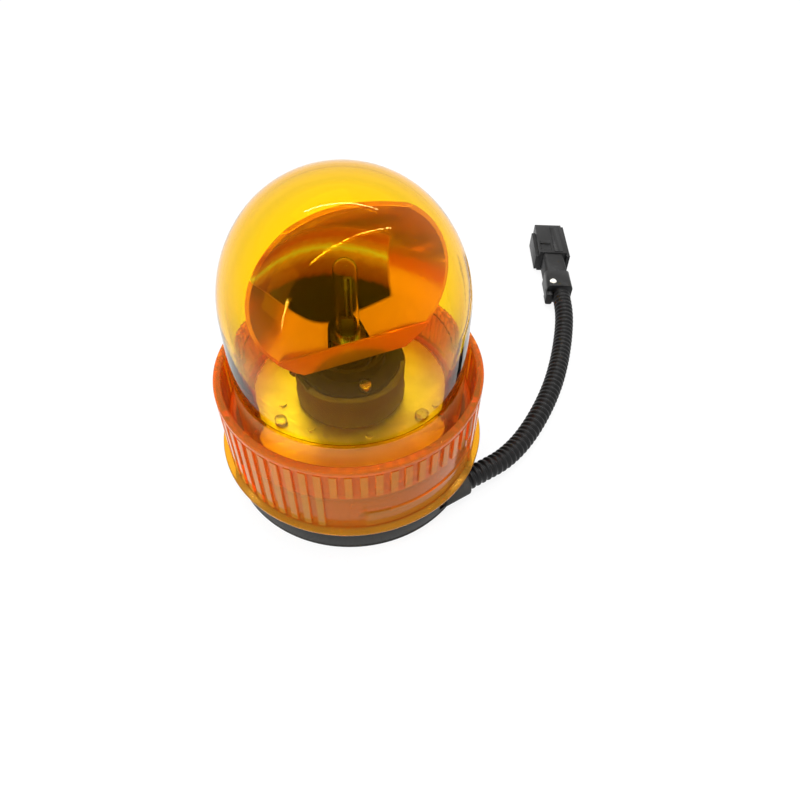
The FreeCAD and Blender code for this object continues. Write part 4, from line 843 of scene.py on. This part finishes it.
# %% Conduit tube
RING_STEP, FLATTENED = 0.25 * MM, 2.0  # along the line, and how square the ridges' wave is
stations = np.linspace(0.0, travel[-1], int(travel[-1] / RING_STEP))
centre = np.stack([np.interp(stations, travel, path[:, k]) for k in range(3)], axis=1)
ahead = np.gradient(centre, axis=0)
ahead /= np.linalg.norm(ahead, axis=1, keepdims=True)
side = np.cross((0.0, 0.0, 1.0), ahead)
side /= np.linalg.norm(side, axis=1, keepdims=True)
above = np.cross(ahead, side)
wave = np.tanh(FLATTENED * np.cos(2 * np.pi * stations / (RIDGE_PITCH * MM))) / math.tanh(FLATTENED)
tube_rad = ((RIDGE_RAD + VALLEY_RAD) / 2 + (RIDGE_RAD - VALLEY_RAD) / 2 * wave) * MM
clock = np.linspace(0.0, 2 * np.pi, 32, endpoint=False)[::-1]
rings = (centre[:, None] + tube_rad[:, None, None] * (np.cos(clock)[None, :, None] * side[:, None]
         + np.sin(clock)[None, :, None] * above[:, None])) / MM
conduit = capped_grid("conduit_tube", rings, centre[0] / MM, centre[-1] / MM, crease=60.0)
conduit.data.materials.append(CONDUIT_NYLON)
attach(conduit, "base")
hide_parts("conduit")
print("conduit faces", len(conduit.data.polygons))

# %% [markdown]
# ## Dressing the construction's own pieces
#
# Where the construction model's shape is already the real one, the piece stays and gets its finish.
# Its mesh is loose triangles, so a Weld modifier joins them, and moulded or cast pieces get a small
# bevel, since no moulded edge is knife sharp. Turned metal keeps crisp edges with an edge split.

# %% Finish of every remaining piece
# finish and size of the rounded edge in millimetres, with the pieces that have them
GROUPS = (
    (BASE_ABS, 0.3, "base_housing"), (DRUM_ABS, 0.6, "turntable_drum"), (RUBBER, 0.2, "mounting_pad"),
    (RUBBER, 0.0, "globe_seal"), (RUBBER, 0.3, "cable_gland"),
    (ZINC_SHEET, 0.0, "bottom_plate chassis_plate"), (ZINC_SCREW, 0.0, "bottom_screws motor_screws"),
    (ZINC_SCREW, 0.25, "chassis_screws"), (ZINC_SCREW, 0.2, "reflector_screws"),
    (BLACK_OXIDE, 0.2, "post_screws lamp_post"), (BLACK_OXIDE, 0.0, "retaining_ring lamp_socket"),
    (BRASS, 0.0, "mounting_inserts contact_plunger terminal_pins"),
    (BRIGHT_STEEL, 0.0, "bulb_cap thrust_washer idler_pin motor_shaft motor_can motor_clips"),
    (BRONZE, 0.0, "rotor_bush"), (WHITE_NYLON, 0.0, "ring_gear idler_gear motor_pinion motor_end_cap"),
    (WHITE_NYLON, 0.2, "seal_plug"), (PHENOLIC, 0.0, "socket_insulator"), (GLASS, 0.0, "bulb_glass"),
    (TUNGSTEN, 0.0, "bulb_filament"), (BOARD_GREEN, 0.0, "suppressor_board"),
    (BLUE_DIP, 0.3, "capacitor"), (BLUE_DIP, 0.0, "choke"), (IVORY, 0.3, "terminal_block"),
    (RED_PVC, 0.0, "feed_wires lamp_wire"), (CONNECTOR_NYLON, 0.5, "connector_backshell"),
    (CONNECTOR_NYLON, 0.4, "connector_housing"), (CONNECTOR_NYLON, 0.25, "connector_lock"))
MOULDED_CORNER, CRISP_CORNER = math.radians(35.0), math.radians(30.0)


def dress(piece, finish, rounding):
    """Finish on every slot, smooth faces, and either a rounded edge of the given size or a split one."""
    if not piece.material_slots:
        piece.data.materials.append(finish)
    for slot in piece.material_slots:
        slot.material = finish
    piece.data.polygons.foreach_set("use_smooth", np.ones(len(piece.data.polygons), dtype=bool))
    weld = piece.modifiers.new("weld", "WELD")
    weld.merge_threshold = 0.001 * MM
    if rounding:
        soften = piece.modifiers.new("rounded_edges", "BEVEL")
        soften.width, soften.segments, soften.limit_method = rounding * MM, 2, "ANGLE"
        soften.angle_limit, soften.harden_normals = MOULDED_CORNER, True
    else:
        crisp = piece.modifiers.new("crisp_edges", "EDGE_SPLIT")
        crisp.split_angle = CRISP_CORNER


dressed = [(name, finish, rounding) for finish, rounding, names in GROUPS for name in names.split()]
for name, finish, rounding in dressed:
    dress(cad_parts[name], finish, rounding)
print("pieces dressed", len(dressed))
